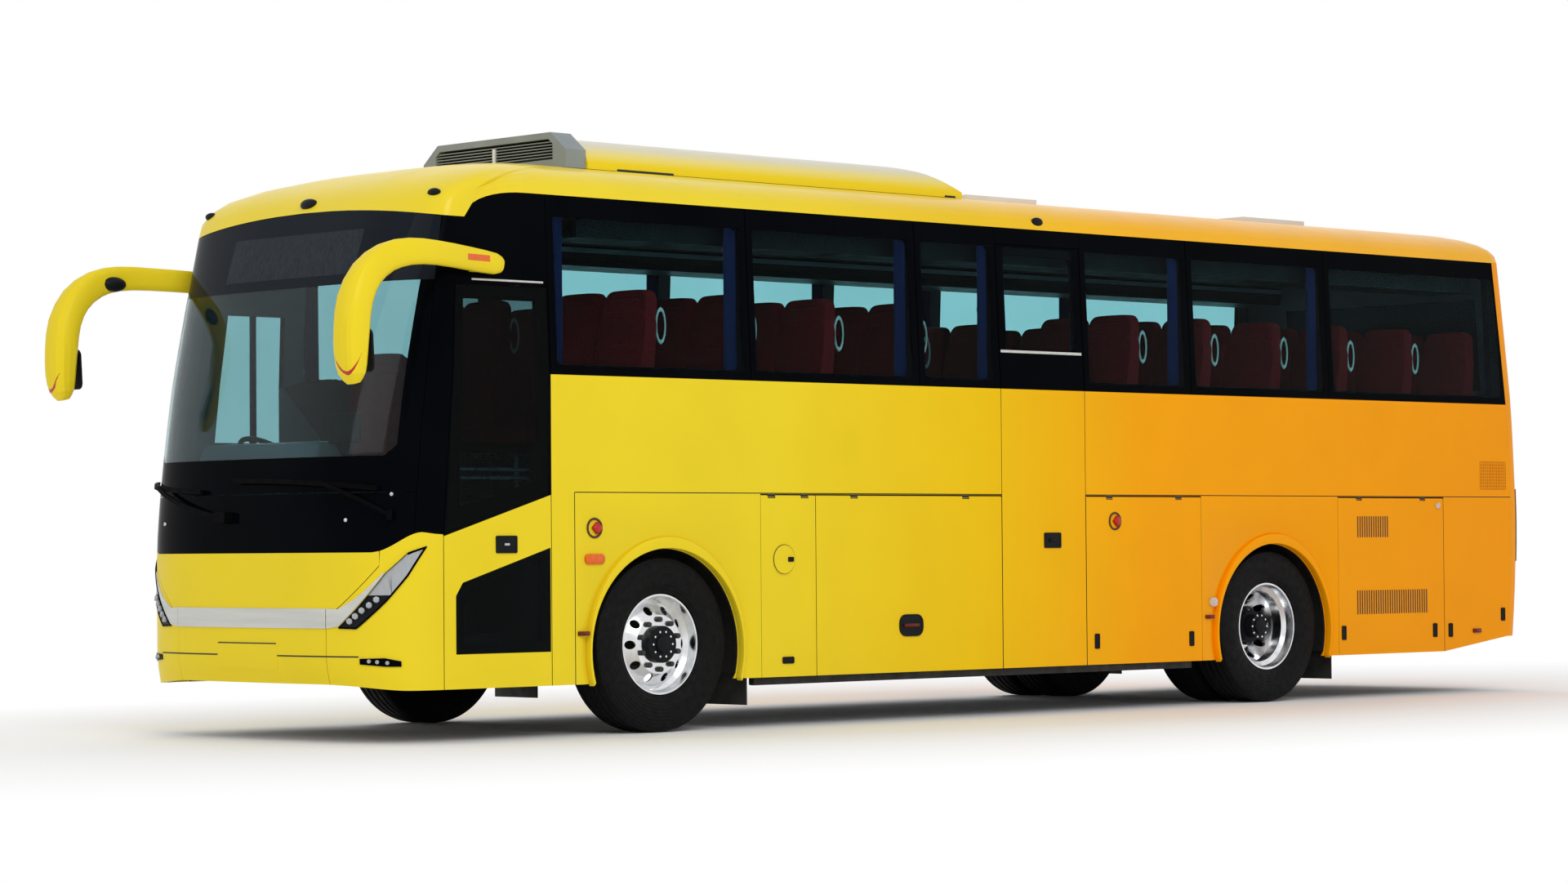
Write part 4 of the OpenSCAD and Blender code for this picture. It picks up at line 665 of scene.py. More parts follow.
def mid_pane_part(face):
    x, z = face.center.x, face.center.z
    if BAR_LOW < z < BAR_TOP:
        return 2
    return 1 if x < low.x + PRINT_W or x > high.x - PRINT_W or z > PANE_TOP or z < BAR_LOW else 0


colour_faces(mid_pane, (tinted_glass, black_panel, silver_trim), mid_pane_part)
dress("front_door_glass", door_glass)
dress("rear_glass", smoked_glass)
print("middle door pane:", round(high.x - low.x, 3), "wide")

# %% [markdown]
# ## Nose
# The headlamps slant up into the corners. Inset leaves a black rim round each lens, the upper half stays bright, and
# the lower half is a dark reflector with a row of small light units. The silver strip joins both lamps.

# %% Headlamps with their rims and light units
LAMP_SPLIT = 0.84
lamps = dress("headlamps", lamp_clear)
split(lamps, at_z(LAMP_SPLIT))


def lens_face(face):
    return face.normal.x * 0.8 + abs(face.normal.y) * 0.6 > 0.5 and face.center.z > 0.60


inset(lamps, lens_face, (0.012, -0.003))
colour_faces(lamps, (black_panel, lamp_clear, dark_plastic),
             lambda face: 0 if not face.select else (1 if face.center.z > LAMP_SPLIT else 2))
UNITS = ((5.057, 1.066, 0.815), (5.076, 1.024, 0.784), (5.093, 0.978, 0.754), (5.107, 0.936, 0.722),
         (5.117, 0.897, 0.693))
unit_axis = Vector((0.78, 0.6, 0.15))
fit_rods("headlamp_units", "body", lamp_clear, 0.006,
         *[((x, side * y, z), (unit_axis.x, side * unit_axis.y, unit_axis.z), 0.020, 0.03)
           for x, y, z in UNITS for side in BOTH], sides=6)
FOG_UNITS = ((5.076, 1.021, 0.470), (5.055, 1.068, 0.466), (5.023, 1.120, 0.461))
fit_rods("fog_units", "body", lamp_clear, 0.003,
         *[((x, side * y, z), (0.9, side * 0.43, -0.06), 0.012, 0.016) for x, y, z in FOG_UNITS for side in BOTH],
         sides=8)
dress("front_trim", silver_trim)
print("light units:", 2 * len(UNITS))


# %% [markdown]
# ### Bumper joints
# Thin dark joints part the bumper, and a plain plate panel sits in the middle. They could be cut into the nose, but
# its solids stay as they are. A flat strip is pressed onto the curve with Shrinkwrap instead, and thickened.

# %% Lines on the bumper
STRIP_START, STRIP_CUTS = {1: 5.4, -1: -5.9}, {1: 24, -1: 12}


def strip(end, y, z, wide, tall, lift, name, finish, target):
    piece = begin("plane", size=1, location=(STRIP_START[end], y, z), rotation=(0, end * math.pi / 2, 0),
                  scale=(tall, wide, 1))
    edit(piece)
    bpy.ops.mesh.subdivide(number_cuts=STRIP_CUTS[end])
    done()
    modify(piece, "SHRINKWRAP", target=frame["nodes"][target], wrap_method="PROJECT", use_project_x=True,
           use_project_y=False, use_project_z=False, use_negative_direction=end > 0, use_positive_direction=end < 0)
    modify(piece, "SOLIDIFY", thickness=2 * lift, offset=0.0)
    return hand_over(piece, name, body_of[target], finish)


for side, hand in HANDS:
    strip(1, side * 0.62, 0.494, 0.66, 0.008, 0.0012, "bumper_line_" + hand, black_seal_and_shade, "front_mask")
strip(1, 0, 0.485, 0.57, 0.150, 0.003, "plate_panel", paint, "front_mask")
strip(1, 0, 0.563, 0.56, 0.007, 0.0035, "plate_line", black_seal_and_shade, "front_mask")
print("bumper strips: two joints, the plate panel and its line")

# %% [markdown]
# ### Black surround
# Cowl, pillars and wipers are black, which makes the glass look larger. The pillars' inner faces are pale like the cab,
# because gloss black speckles behind the glass. Each washer jet is a short rod with its edge bevelled.

# %% Cowl, pillars, wipers and washer jets
dress("cowl_panel", black_panel)
CAB_HEART = Vector((4.0, 0, 2.2))
colour_faces(dress("pillars", black_panel), (black_panel, cab_lining),
             lambda face: 1 if looks_in(face, CAB_HEART) else 0)
wiper_black = surface("wiper_black", (0.0015, 0.0016, 0.002), (0.003, 0.003, 0.0036), 0.1, (0.5, 0.65), IOR=1.08)
dress("wipers", wiper_black)
JETS = ((4.991, 1.127, 1.406), (5.108, 0.858, 1.263), (5.093, -0.922, 1.257))
fit_rods("washer_jets", "body", steel, 0.004,
         *[((x, y, z), (0.9, 0.4 if y > 0 else -0.4, 0.1), 0.012, 0.02) for x, y, z in JETS])
print("washer jets:", len(JETS))

# %% [markdown]
# ### Roof lamps
# Small dark lamps sit half sunk along the edge of the roof. A turned profile would do, but a squashed sphere is
# quicker. Bisect marks its middle, and an inset sinks the face underneath.

# %% Roof front lamps
def roof_bead(place, size, name):
    piece = begin("uv_sphere", segments=24, ring_count=12, radius=1, location=place, scale=size)
    split(piece, (place, (0, 0, 1)))
    inset(piece, lambda face: face.normal.z < -0.75, (0.003, -0.002))
    return hand_over(piece, name, "body", dark_plastic)


roof_bead((4.712, 0, 3.122), (0.035, 0.075, 0.035), "roof_lamp_middle")
for side, hand in HANDS:
    roof_bead((4.640, side * 1.079, 3.124), (0.03, 0.05, 0.026), "roof_lamp_" + hand)
    roof_bead((-0.287, side * 1.186, 3.198), (0.055, 0.015, 0.03), "cove_lamp_" + hand)
print("roof lamps:", 1 + 2 * len(HANDS))

# %% [markdown]
# ### Mirrors
# The horn mirrors are painted like the coach. Each carries an amber repeater near its root, a red marker line round
# its tip, and the far one a small camera. They are cut into the painted shell with Bisect, so they follow its curve.

# %% Mirrors with their lamps
horns = dress("mirrors", paint)
REPEATER = (4.42, 4.62, 2.725, 2.762)
TIP_X, TIP_Y, TIP_Z, TIP_CURL, TIP_LINE = 5.555, 1.455, 2.046, 8.8, 0.024
split(horns, at_x(REPEATER[0]), at_x(REPEATER[1]), at_z(REPEATER[2]),
      at_z(REPEATER[3]))
pick(horns, lambda face: face.center.x > 5.42 and face.center.z < 2.32 and face.normal.x > -0.4)
bpy.ops.mesh.subdivide(number_cuts=9)
done()


def horn_part(face):
    x, y, z = face.center
    outward = outward_of(face)
    if REPEATER[0] < x < REPEATER[1] and REPEATER[2] < z < REPEATER[3] and outward > 0.5:
        return 1
    aside = abs(y) - TIP_Y
    aside += math.copysign(TIP_X - x, aside)
    rise = z - TIP_Z - TIP_CURL * aside * aside
    thick = TIP_LINE * (1 - (aside / 0.12) ** 2)
    return 2 if x > 5.45 and 0 < rise < thick and face.normal.x > -0.3 else 0


colour_faces(horns, (paint, lamp_amber, lamp_red), horn_part)
colour_faces(dress("mirror_glass", mirror_face), (mirror_face, dark_plastic),
             lambda face: 0 if face.normal.x < -0.5 else 1)
eye = begin("uv_sphere", segments=24, ring_count=12, radius=1, location=(5.147, -1.375, 2.71),
            scale=(0.085, 0.035, 0.045))
inset(eye, lambda face: face.normal.x > 0.55, (0.004, -0.003))
hand_over(eye, "mirror_camera", "body", dark_plastic)

# %% [markdown]
# ## Roof unit
# The air conditioner draws air through a grey mouth at its front. Behind the slats are thin upright fins, with one
# pale bar in the middle. The cover's paint fades upwards to cream, a painted highlight of the sky's light on its top.

# %% Cover with a painted highlight that pales upwards
COVER_LOW, COVER_TOP = 3.42, 3.54
cover_paint_highlight, cover_shader = sheet_of_nodes("roof_unit_paint_highlight")
# The ramp on Z pales the cover's paint towards its top: a painted highlight, not a colour of the cover.
pale = ramp(cover_paint_highlight, along(cover_paint_highlight, "Z", COVER_LOW, COVER_TOP),
            [(0.0, LEMON), (0.45, (0.83, 0.70, 0.22)), (1.0, (0.72, 0.69, 0.56))])
coat(cover_paint_highlight, cover_shader, pale, 0.25, (0.30, 0.42))
relief(cover_paint_highlight, cover_shader, noise(cover_paint_highlight, 0.004, 2.0), 0.0001, 0.12)
dial(cover_shader, Coat_Weight=0.05, IOR=1.12)
dress("ac_cover", cover_paint_highlight)

# Dark blocks along the cover's lower edge: partly the gap at the roof, partly painted shade under the edge.
fit_blocks("cover_gaps_and_shade", "body", black_seal_and_shade, 0.003,
           *[((x, side * 0.690, 3.380), (wide, 0.022, 0.016)) for x, wide in ((2.69, 0.46), (0.02, 0.10))
             for side in BOTH])

# %% Mouth with its fins
dress("ac_intake", grey_plastic)
low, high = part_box("ac_intake")
FINS, FIN_T = 44, 0.004
half = high.y - 0.13
fit_blocks("intake_fins", "body", dark_plastic, 0.001,
           *[((high.x - 0.062, -half + 2 * half * i / (FINS - 1), (low.z + high.z) / 2 + 0.02),
              (0.03, FIN_T, (high.z - low.z) * 0.5)) for i in range(FINS)], segments=1)
fit_blocks("intake_bar", "body", white_plastic, 0.004, ((high.x - 0.012, 0.0, low.z + 0.10), (0.024, 0.022, 0.12)))
for hatch in ("roof_hatch_front", "roof_hatch_rear"):
    dress(hatch, white_plastic)
print("intake:", round(high.y - low.y, 3), "wide")

# %% [markdown]
# ## Small things on the sides
# Door handles, latches and lamps are small plates on the skin. Each starts as a block, gets rounded corners with
# Bevel and a recess with Inset, and rides on the flap or door that carries it.

# %% Latches and handles
FLAP_CATCHES = [(-3.350, 0.461, 0.046, 0.10), (-4.396, 0.460, 0.046, 0.10)]
TAIL_CATCHES = [(-4.580, 0.457, 0.046, 0.10), (-5.213, 0.561, 0.046, 0.096)]
LATCHES = {
    "filler_flap": [(2.048, 0.405, 0.096, 0.042)],
    "luggage_door_left": [(0.979, 0.597, 0.212, 0.138)],
    "service_flap": [(-0.762, 0.459, 0.046, 0.10), (-1.712, 0.456, 0.046, 0.10)],
    "engine_flap_left": FLAP_CATCHES,
    "front_door": [(4.265, 1.120, 0.157, 0.10)],
    "mid_door": [(-0.337, 1.124, 0.160, 0.10)],
    "side_wall_left": TAIL_CATCHES,
    "luggage_door_right_front": [(1.25, 0.597, 0.212, 0.138)],
    "luggage_door_right_rear": [(-0.80, 0.597, 0.212, 0.138)],
    "engine_flap_right": FLAP_CATCHES,
    "side_wall_right": TAIL_CATCHES}


SMALL_CORNER, ROUND_LATCH = 0.010, 0.055


def on_skin(node_name, x, z, wide, tall, deep=0.014):
    side = 1 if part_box(node_name)[1].y > 0.5 else -1
    return (x, side * (SKIN + 0.001), z), (wide, deep, tall)


for carrier, items in LATCHES.items():
    corner = ROUND_LATCH if items[0][3] > ROUND_LATCH * 2 else SMALL_CORNER
    piece = plates([on_skin(carrier, *item) for item in items], corner, 0.008, 0.006)
    hand_over(piece, carrier + "_latches", body_of[carrier], dark_plastic)
print("latches:", sum(len(items) for items in LATCHES.values()))

# %% Door handle bars and the round filler cap
fit_blocks("front_door_pull", "front_door", steel, 0.003, ((4.265, SKIN + 0.004, 1.120), (0.04, 0.012, 0.014)))
fit_blocks("mid_door_pull", "mid_door", dark_plastic, 0.003, ((-0.337, SKIN + 0.004, 1.124), (0.06, 0.012, 0.022)))
CAP_X, CAP_Z = 2.076, 1.018
cap = rods(((CAP_X, SKIN, CAP_Z), (0, 1, 0), 0.097, 0.010), sides=48)
inset(cap, lambda face: face.normal.y > 0.9, (0.006, -0.003), (0.004, 0.003))
hand_over(cap, "filler_cap", "filler_flap", paint)
colour_faces(cap, (paint, black_seal_and_shade),
             lambda face: 1 if 0.0865 < from_axis(face.center, CAP_X, CAP_Z) < 0.0915 else 0)
latch = plates([((2.024, SKIN + 0.006, CAP_Z), (0.045, 0.012, 0.03))], 0.006, 0.005, 0.003)
hand_over(latch, "filler_cap_latch", "filler_flap", dark_plastic)
print("filler cap faces:", len(cap.data.polygons))

# %% [markdown]
# ### Valves
# Round recesses near the front arches and behind the middle door hold red emergency valves. They could be cut into
# the wall. From a few metres away, a dark ring with a raised knob in it reads the same: the ring is painted shadow of
# the recess.

# %% Emergency valves
# The louvre shadow finish is painted shadow: it darkens the valve recess rings, the louvre slots and the lid slots.
recess_shadow = surface("louvre_shadow", (0.055, 0.016, 0.004), (0.085, 0.026, 0.006), 0.05, (0.5, 0.7))


def valve(x, z, side, name, body):
    ring = begin("torus", major_radius=0.054, minor_radius=0.007, major_segments=32, minor_segments=8,
                 location=(x, side * (SKIN + 0.002), z), rotation=(math.pi / 2, 0, 0))
    inset(ring, lambda face: face.normal.y * side > 0.6, (0.0015, -0.001))
    hand_over(ring, name + "_ring", body, recess_shadow)
    knob = rods(((x - 0.012, side * (SKIN + 0.010), z), (0, 1, 0), 0.038, 0.024), sides=4)
    inset(knob, lambda face: face.normal.y * side > 0.9, (0.010, 0.006))
    return hand_over(soften(knob, 0.004), name + "_knob", body, lamp_red)


front_valves = [valve(3.600, 1.212, side, "valve_front_" + hand, "body")
                for side, hand in HANDS]
valve(-0.948, 1.248, 1, "valve_rear_left", "service_flap")
print("valves:", len(front_valves) + 1)

# %% Lamps and reflectors on the sides
def lens(items, name, body, finish, corner):
    piece = plates([((x, side * (SKIN + 0.006), z), (wide, 0.014, tall)) for x, z, wide, tall, side in items], corner,
                   0.006, -0.004)
    return hand_over(piece, name, body, finish)


reflector_red = surface("reflector_red", (0.13, 0.010, 0.004), (0.18, 0.015, 0.006), 0.04, (0.2, 0.3), IOR=1.3)
markers = lens([(3.603, 1.031, 0.150, 0.060, s) for s in BOTH], "side_markers", "body", lamp_amber,
               0.027)
whites = lens([(-1.937, 0.699, 0.075, 0.060, s) for s in BOTH], "side_white_lamps", "body", lamp_clear,
              0.022)
lens([(-4.440, 1.355, 0.045, 0.045, 1)], "flap_white_lamp", "engine_flap_left", lamp_clear, 0.018)
lens([(3.690, 0.600, 0.085, 0.026, s) for s in BOTH] + [(-1.900, 0.600, 0.085, 0.026, s) for s in BOTH]
     + [(-4.892, 0.447, 0.090, 0.030, s) for s in BOTH], "side_reflectors", "body", reflector_red, 0.006)
for carrier, x, side in (("luggage_door_left", 0.979, 1), ("luggage_door_right_front", 1.25, -1),
                         ("luggage_door_right_rear", -0.80, -1)):
    lens([(x, 0.597, 0.13, 0.020, side)], carrier + "_reflector", carrier, reflector_red, 0.004)
for piece in (*front_valves, markers, whites):
    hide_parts("side_lamps")
print("marker faces:", len(markers.data.polygons))

# %% [markdown]
# ### Louvres
# The engine breathes through two fields of slots in its flap and a fine grid behind it. Real slots would take many
# cuts, so thin bars of painted shadow are laid into the skin, spaced so that each field is filled evenly.

# %% Louvres and the square vent
PITCH_LOUVRE = 0.026


def louvres(side, name, body):
    fields = ((-3.87, -3.507, 1.131, 1.28), (-4.315, -3.497, 0.588, 0.757))
    slots = []
    for x0, x1, z0, z1 in fields:
        count = round((x1 - x0) / PITCH_LOUVRE)
        slots += [((x0 + (i + 0.5) * (x1 - x0) / count, side * SKIN, (z0 + z1) / 2), (0.011, 0.006, z1 - z0))
                  for i in range(count)]
    return hand_over(soften(blocks(*slots), 0.0015, 1), name, body, recess_shadow)


louvres(1, "engine_louvres_left", "engine_flap_left")
louvres(-1, "engine_louvres_right", "engine_flap_right")
VENT = (-5.266, -4.957, 1.477, 1.677)
vent_line = surface("vent_line", (0.42, 0.13, 0.004), (0.52, 0.17, 0.006), 0.05, (0.4, 0.5), IOR=1.2)
for side, hand in HANDS:
    wide, tall = VENT[1] - VENT[0], VENT[3] - VENT[2]
    bars = [((VENT[0] + wide * i / 14, side * SKIN, (VENT[2] + VENT[3]) / 2), (0.003, 0.005, tall)) for i in range(15)]
    bars += [(((VENT[0] + VENT[1]) / 2, side * SKIN, VENT[2] + tall * i / 9), (wide, 0.005, 0.003)) for i in range(10)]
    hand_over(soften(blocks(*bars), 0.001, 1), "tail_vent_" + hand, "body", vent_line)
print("vent:", round(wide, 3), "x", round(tall, 3))

# %% [markdown]
# ## Rails at the front door
# Two steel bars inside the door give a hold on the steps, and a bright rail runs over the door glass. Both could be
# swept along a curve. Straight bars need only a cylinder or a cube, with the edges bevelled.

# %% Rails at the front door
fit_blocks("door_top_rail", "body", silver_trim, 0.003, ((4.225, 1.224, 2.630), (0.53, 0.012, 0.012)))
grips = rods(((4.31, 1.195, 1.500), (1, 0, 0), 0.012, 0.66), ((4.31, 1.195, 1.550), (1, 0, 0), 0.012, 0.66))
more(grips, "cylinder", [dict(location=(x, 1.205, z), rotation=(math.pi / 2, 0, 0)) for x in (3.99, 4.63)
                         for z in (1.50, 1.55)], vertices=16, radius=0.014, depth=0.03)
hand_over(soften(grips, 0.003), "front_door_grips", "front_door", steel)
print("door grip faces:", len(grips.data.polygons))

# %% [markdown]
# ## Tail
# The tail is hidden in the photograph. It carries what every coach has there: red lamps in a dark frame, high marker
# lamps, a plain plate panel and slots in the engine lid.

# %% Tail lamps and lid slots
tails = dress("tail_lamps", lamp_red)
AMBER_LOW, AMBER_TOP = 1.12, 1.30
split(tails, at_z(AMBER_LOW), at_z(AMBER_TOP))
inset(tails, lambda face: face.normal.x < -0.3, (0.012, -0.003))


def tail_part(face):
    if not face.select:
        return 1
    return 2 if AMBER_LOW < face.center.z < AMBER_TOP else 0


colour_faces(tails, (lamp_red, black_seal_and_shade, lamp_amber), tail_part)
low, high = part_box("engine_lid")
print("engine lid:", [round(v, 3) for v in (*low, *high)])


# %% Slots and plate on the engine lid
SLOTS, SLOT_LOW, SLOT_PITCH = 9, 0.52, 0.032
# The lid slots are strips of painted shadow pressed onto the lid.
for i in range(SLOTS):
    strip(-1, 0, low.z + SLOT_LOW + SLOT_PITCH * i, 1.30, 0.014, 0.002, "lid_slot_%d" % i, recess_shadow, "engine_lid")
strip(-1, 0, low.z + 0.26, 0.54, 0.15, 0.003, "tail_plate_panel", white_plastic, "engine_lid")
strip(-1, 0, low.z + 0.10, 0.22, 0.05, 0.004, "lid_handle", dark_plastic, "engine_lid")
strip(-1, 0, 3.035, 0.50, 0.030, 0.004, "high_stop_lamp", lamp_red, "rear_wall")
for side, hand in HANDS:
    strip(-1, side * 1.05, 0.470, 0.14, 0.050, 0.004, "tail_reflector_" + hand, lamp_red, "rear_wall")
print("lid slots:", SLOTS)

# %% [markdown]
# ## Wheels
# The tyre's tread is cut into ribs: pairs of Bisect planes mark the grooves, and an inset without width sinks them.
# The rims are polished, with a black hub, a ring of bolts in it and ten dark nuts on the disc.

# %% Tyre rubber with rings on its walls
WHEEL_Z, WHEEL_Y, TWIN, RING_PITCH = 0.522, 1.058, 0.335, 0.022


def tyre_rubber(name, x):
    material, shader = sheet_of_nodes(name)
    tones = [(0.3, (0.0012, 0.0012, 0.0014)), (0.7, (0.0026, 0.0026, 0.003))]
    coat(material, shader, ramp(material, noise(material, 0.06), tones), 0.04, (0.62, 0.82))
    place = node(material, "ShaderNodeMapping")
    dial(place, Location=(-x, 0, -WHEEL_Z))
    wire(material, node(material, "ShaderNodeTexCoord").outputs["Object"], place.inputs["Vector"])
    flat = node(material, "ShaderNodeVectorMath", operation="MULTIPLY")
    flat.inputs[1].default_value = (1, 0, 1)
    wire(material, place.outputs["Vector"], flat.inputs[0])
    radius = node(material, "ShaderNodeVectorMath", operation="LENGTH")
    wire(material, flat.outputs["Vector"], radius.inputs[0])
    turns = calc(material, "MULTIPLY", radius.outputs["Value"], 2 * math.pi / RING_PITCH)
    relief(material, shader, calc(material, "SINE", turns), 0.0008)
    dial(shader, IOR=1.25)
    return material


rubber_front, rubber_rear = tyre_rubber("tyre_rubber_front", AXLE), tyre_rubber("tyre_rubber_rear", REAR_AXLE)
print("rubber:", rubber_front.name, rubber_rear.name)

# %% Tyres with their grooves
GROOVES, GROOVE_W, GROOVE_D, TREAD_R = (-0.078, -0.027, 0.027, 0.078), 0.011, 0.012, 0.50


def grooved_tyre(name, x, centres, finish):
    piece = dress(name, finish)
    lines = [y + offset for y in centres for offset in GROOVES]
    for y in lines:
        split(piece, at_y(y - GROOVE_W / 2), at_y(y + GROOVE_W / 2))
    inset(piece, lambda face: from_axis(face.center, x, WHEEL_Z) > TREAD_R
          and min(abs(face.center.y - y) for y in lines) < GROOVE_W / 2, (0, -GROOVE_D))
    return len(piece.data.polygons)


for side, hand in HANDS:
    grooved_tyre("tyre_front_" + hand, AXLE, [side * WHEEL_Y], rubber_front)
    made = grooved_tyre("tyres_rear_" + hand, REAR_AXLE, [side * WHEEL_Y, side * (WHEEL_Y - TWIN)], rubber_rear)
print("faces of a twin tyre:", made)

# %% Rims, hubs and nuts
NUTS, NUT_RING, BOLT_RING, HUB_R = 10, 0.148, 0.076, 0.112


def on_ring(x, y, radius, count, phase=0.0):
    return [(x + radius * math.cos(phase + 2 * math.pi * i / count), y,
             WHEEL_Z + radius * math.sin(phase + 2 * math.pi * i / count)) for i in range(count)]


def rim(name, x, hub_y, disc_y):
    piece = dress(name, polished)
    colour_faces(piece, (polished, dark_plastic),
                 lambda face: 1 if from_axis(face.center, x, WHEEL_Z) < HUB_R else 0)
    fit_rods(name + "_nuts", body_of[name], cast_iron, 0.003,
             *[(place, (0, 1, 0), 0.017, 0.05) for place in on_ring(x, disc_y, NUT_RING, NUTS, 0.3)], sides=6)
    fit_rods(name + "_bolts", body_of[name], polished, 0.002,
             *[(place, (0, 1, 0), 0.008, 0.016) for place in on_ring(x, hub_y, BOLT_RING, 10)], sides=6)
    fit_rods(name + "_cap", body_of[name], dark_plastic, 0.012,
             ((x, hub_y, WHEEL_Z), (0, 1, 0), 0.052, 0.036), sides=40, segments=3)


for side, hand in HANDS:
    rim("rim_front_" + hand, AXLE, side * 1.196, side * 1.163)
    rim("rims_rear_" + hand, REAR_AXLE, side * 1.108, side * 0.9105)
for knuckle in ("knuckle_left", "knuckle_right"):
    dress(knuckle, cast_iron)
print("nuts on each wheel:", NUTS)

# %% [markdown]
# ## Seats
# A coach seat is foam under woven cloth: round edges, a sewn panel in the middle that swells a little. All cushions
# are worked at once, and so are the backs: coplanar triangles are dissolved, the edges are rounded with Bevel, and
# Inset makes the sewn channel and lifts the panel inside it. One level of subdivision makes it soft.

# %% Cushions and backs
SHOULDER_Z = 2.48


def upholster(name, sewn):
    piece = cad_copy(name)
    edit(piece)
    bpy.ops.mesh.dissolve_limited(angle_limit=math.radians(2))
    done()
    round_edges(piece, lambda a, b: min(a.z, b.z) > SHOULDER_Z and abs(a.y - b.y) < 1e-4, 0.075)
    inset(piece, sewn, (0.055, 0.004), (0.008, -0.010), (0.016, 0.016))
    soften(piece, 0.024, 3, 50)
    modify(piece, "SUBSURF", levels=1, render_levels=1)
    hand_over(piece, name + "_padded", "body", seat_fabric, 60)
    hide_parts(name)
    return piece


cushions = upholster("seat_cushions", lambda face: face.normal.z > 0.99)
backs = upholster("seat_backs", lambda face: face.normal.x > 0.9 and face.area > 0.08)
print("seat faces:", len(cushions.data.polygons), len(backs.data.polygons))

# %% [markdown]
# ## Headrests and handles
# A coach seat ends in a padded headrest. Each could be placed by eye, but the tops of the backs can be measured, so
# one headrest is modelled, sunk into the first back's crown, and copied to all the others. The loop handles on both
# edges of a back are a six-sided torus, smoothed once and drawn tall.

# %% Headrests, one on every back
def tops_of(node_name):
    piece = cad_copy(node_name)
    edit(piece)
    bpy.ops.mesh.separate(type="LOOSE")
    done()
    parts = list(bpy.context.selected_objects)
    tops = []
    for part in parts:
        points = [v.co for v in part.data.vertices]
        top = max(p.z for p in points)
        crown = [p for p in points if p.z > top - 0.06]
        tops.append(Vector((sum(p.x for p in crown), sum(p.y for p in crown), 0)) / len(crown) + Vector((0, 0, top)))
    take(*parts)
    bpy.ops.object.delete()
    return tops


REST_SIZE, REST_UP, REST_LEAN = Vector((0.105, 0.405, 0.30)), 0.105, 0.045
tops = tops_of("seat_backs")
rest_middle = tops[0] + Vector((0.004, 0, REST_UP - REST_SIZE.z / 2))
rest = blocks((rest_middle, REST_SIZE))
pick(rest, lambda face: face.normal.z > 0.9)
bpy.ops.transform.translate(value=(-REST_LEAN, 0, 0))
bpy.ops.transform.resize(value=(0.8, 0.94, 1), center_override=rest_middle)
done()
round_edges(rest, lambda a, b: min(a.z, b.z) > rest_middle.z and abs(a.y - b.y) < 1e-4, 0.07)
inset(rest, lambda face: face.normal.x > 0.9, (0.045, 0.003), (0.007, -0.007), (0.014, 0.012))
soften(rest, 0.022, 3, 50)
modify(rest, "SUBSURF", levels=1, render_levels=1)
copy_along(rest, tops)
hand_over(rest, "seat_headrests", "body", seat_fabric, 60)
print("headrests:", len(tops), "faces", len(rest.data.polygons))

# %% Seat frames and grab handles
dress("seat_frames", steel)
ROWS_LEFT = [AXLE + x for x in (0.15, -0.595, -1.34, -2.085, -4.2, -4.945, -5.69, -6.435, -7.18)]
ROWS_RIGHT = [AXLE + 0.15 - 0.733 * i for i in range(11)]
GRIP_AISLE, GRIP_WINDOW, GRIP_Z, GRIP_BACK = 0.262, 1.102, 2.42, 0.236
spots = [(x - GRIP_BACK, y, GRIP_Z) for x in ROWS_LEFT for y in (GRIP_AISLE, GRIP_WINDOW)]
spots += [(x - GRIP_BACK, -y, GRIP_Z) for x in ROWS_RIGHT for y in (GRIP_AISLE, GRIP_WINDOW)]
handles = begin("torus", major_radius=0.055, minor_radius=0.0075, major_segments=6, minor_segments=8,
                location=spots[0], rotation=(math.pi / 2, math.pi / 6, 0))
modify(handles, "SUBSURF", levels=1, render_levels=1)
edit(handles)
bpy.ops.transform.resize(value=(0.80, 1, 2.2), center_override=spots[0])
done()
copy_along(handles, spots)
hand_over(handles, "seat_grips", "body", silver_trim)
print("grips:", len(spots))

# %% [markdown]
# ### Curtains
# Each curtain is one sheet of blue cloth, drawn back to a narrow bundle at its pillar. A grid is pleated by moving its
# points along a sine wave, tighter at the top where the hooks are and looser at the hem. Its flat width is the length
# of that wave, which is measured on the mesh.

# %% Pleated sheets
CURTAINS_LEFT = (0.80, -0.595, -2.055, -2.815, -3.70, -4.675, -6.155, -8.21)
CURTAINS_RIGHT = (0.80, -0.595, -2.055, -3.60, -4.675, -6.155, -8.21)
low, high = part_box("curtains")
CURTAIN_W, FOLDS, FOLD_D = 0.104, 6, 0.0135
curtain_y = high.y - 0.019


def curtain(x, side, name):
    tall = high.z - low.z - 0.01
    piece = begin("grid", x_subdivisions=96, y_subdivisions=24, size=1, rotation=(math.pi / 2, 0, 0),
                  location=(x, side * curtain_y, (low.z + high.z) / 2), scale=(CURTAIN_W, tall, 1))
    for point in piece.data.vertices:
        across = (point.co.x - x) / CURTAIN_W + 0.5
        hang = (high.z - point.co.z) / tall
        lean = (1.25 if point.co.z > low.z + 0.3 else 1.0) * 0.035 * side * (hang - 0.5) ** 2
        point.co.y += FOLD_D * (0.8 + 0.2 * hang) * math.sin(2 * math.pi * FOLDS * across + 0.5 * hang) - 0.2 * lean
    row = sorted((v.co for v in piece.data.vertices if abs(v.co.z - (low.z + high.z) / 2) < tall / 48),
                 key=lambda p: p.x)
    wide = sum((b - a).length for a, b in zip(row, row[1:]))
    hand_over(piece, name, "body", curtain_cloth, 60)
    return piece, wide


sheets = [curtain(AXLE + x, 1, "curtain_left_%d" % i) for i, x in enumerate(CURTAINS_LEFT)]
sheets += [curtain(AXLE + x, -1, "curtain_right_%d" % i) for i, x in enumerate(CURTAINS_RIGHT)]
for piece, wide in sheets:
    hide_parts("curtains")
print("curtains:", len(sheets), "flat width", round(sheets[0][1], 3))

# %% [markdown]
# ## Inside and below
# Through the glass one sees dark racks, a grey dashboard with a screen on it, and the black bar in the driver's
# window. Below the skirt are the axles and the frame, all in chassis black.

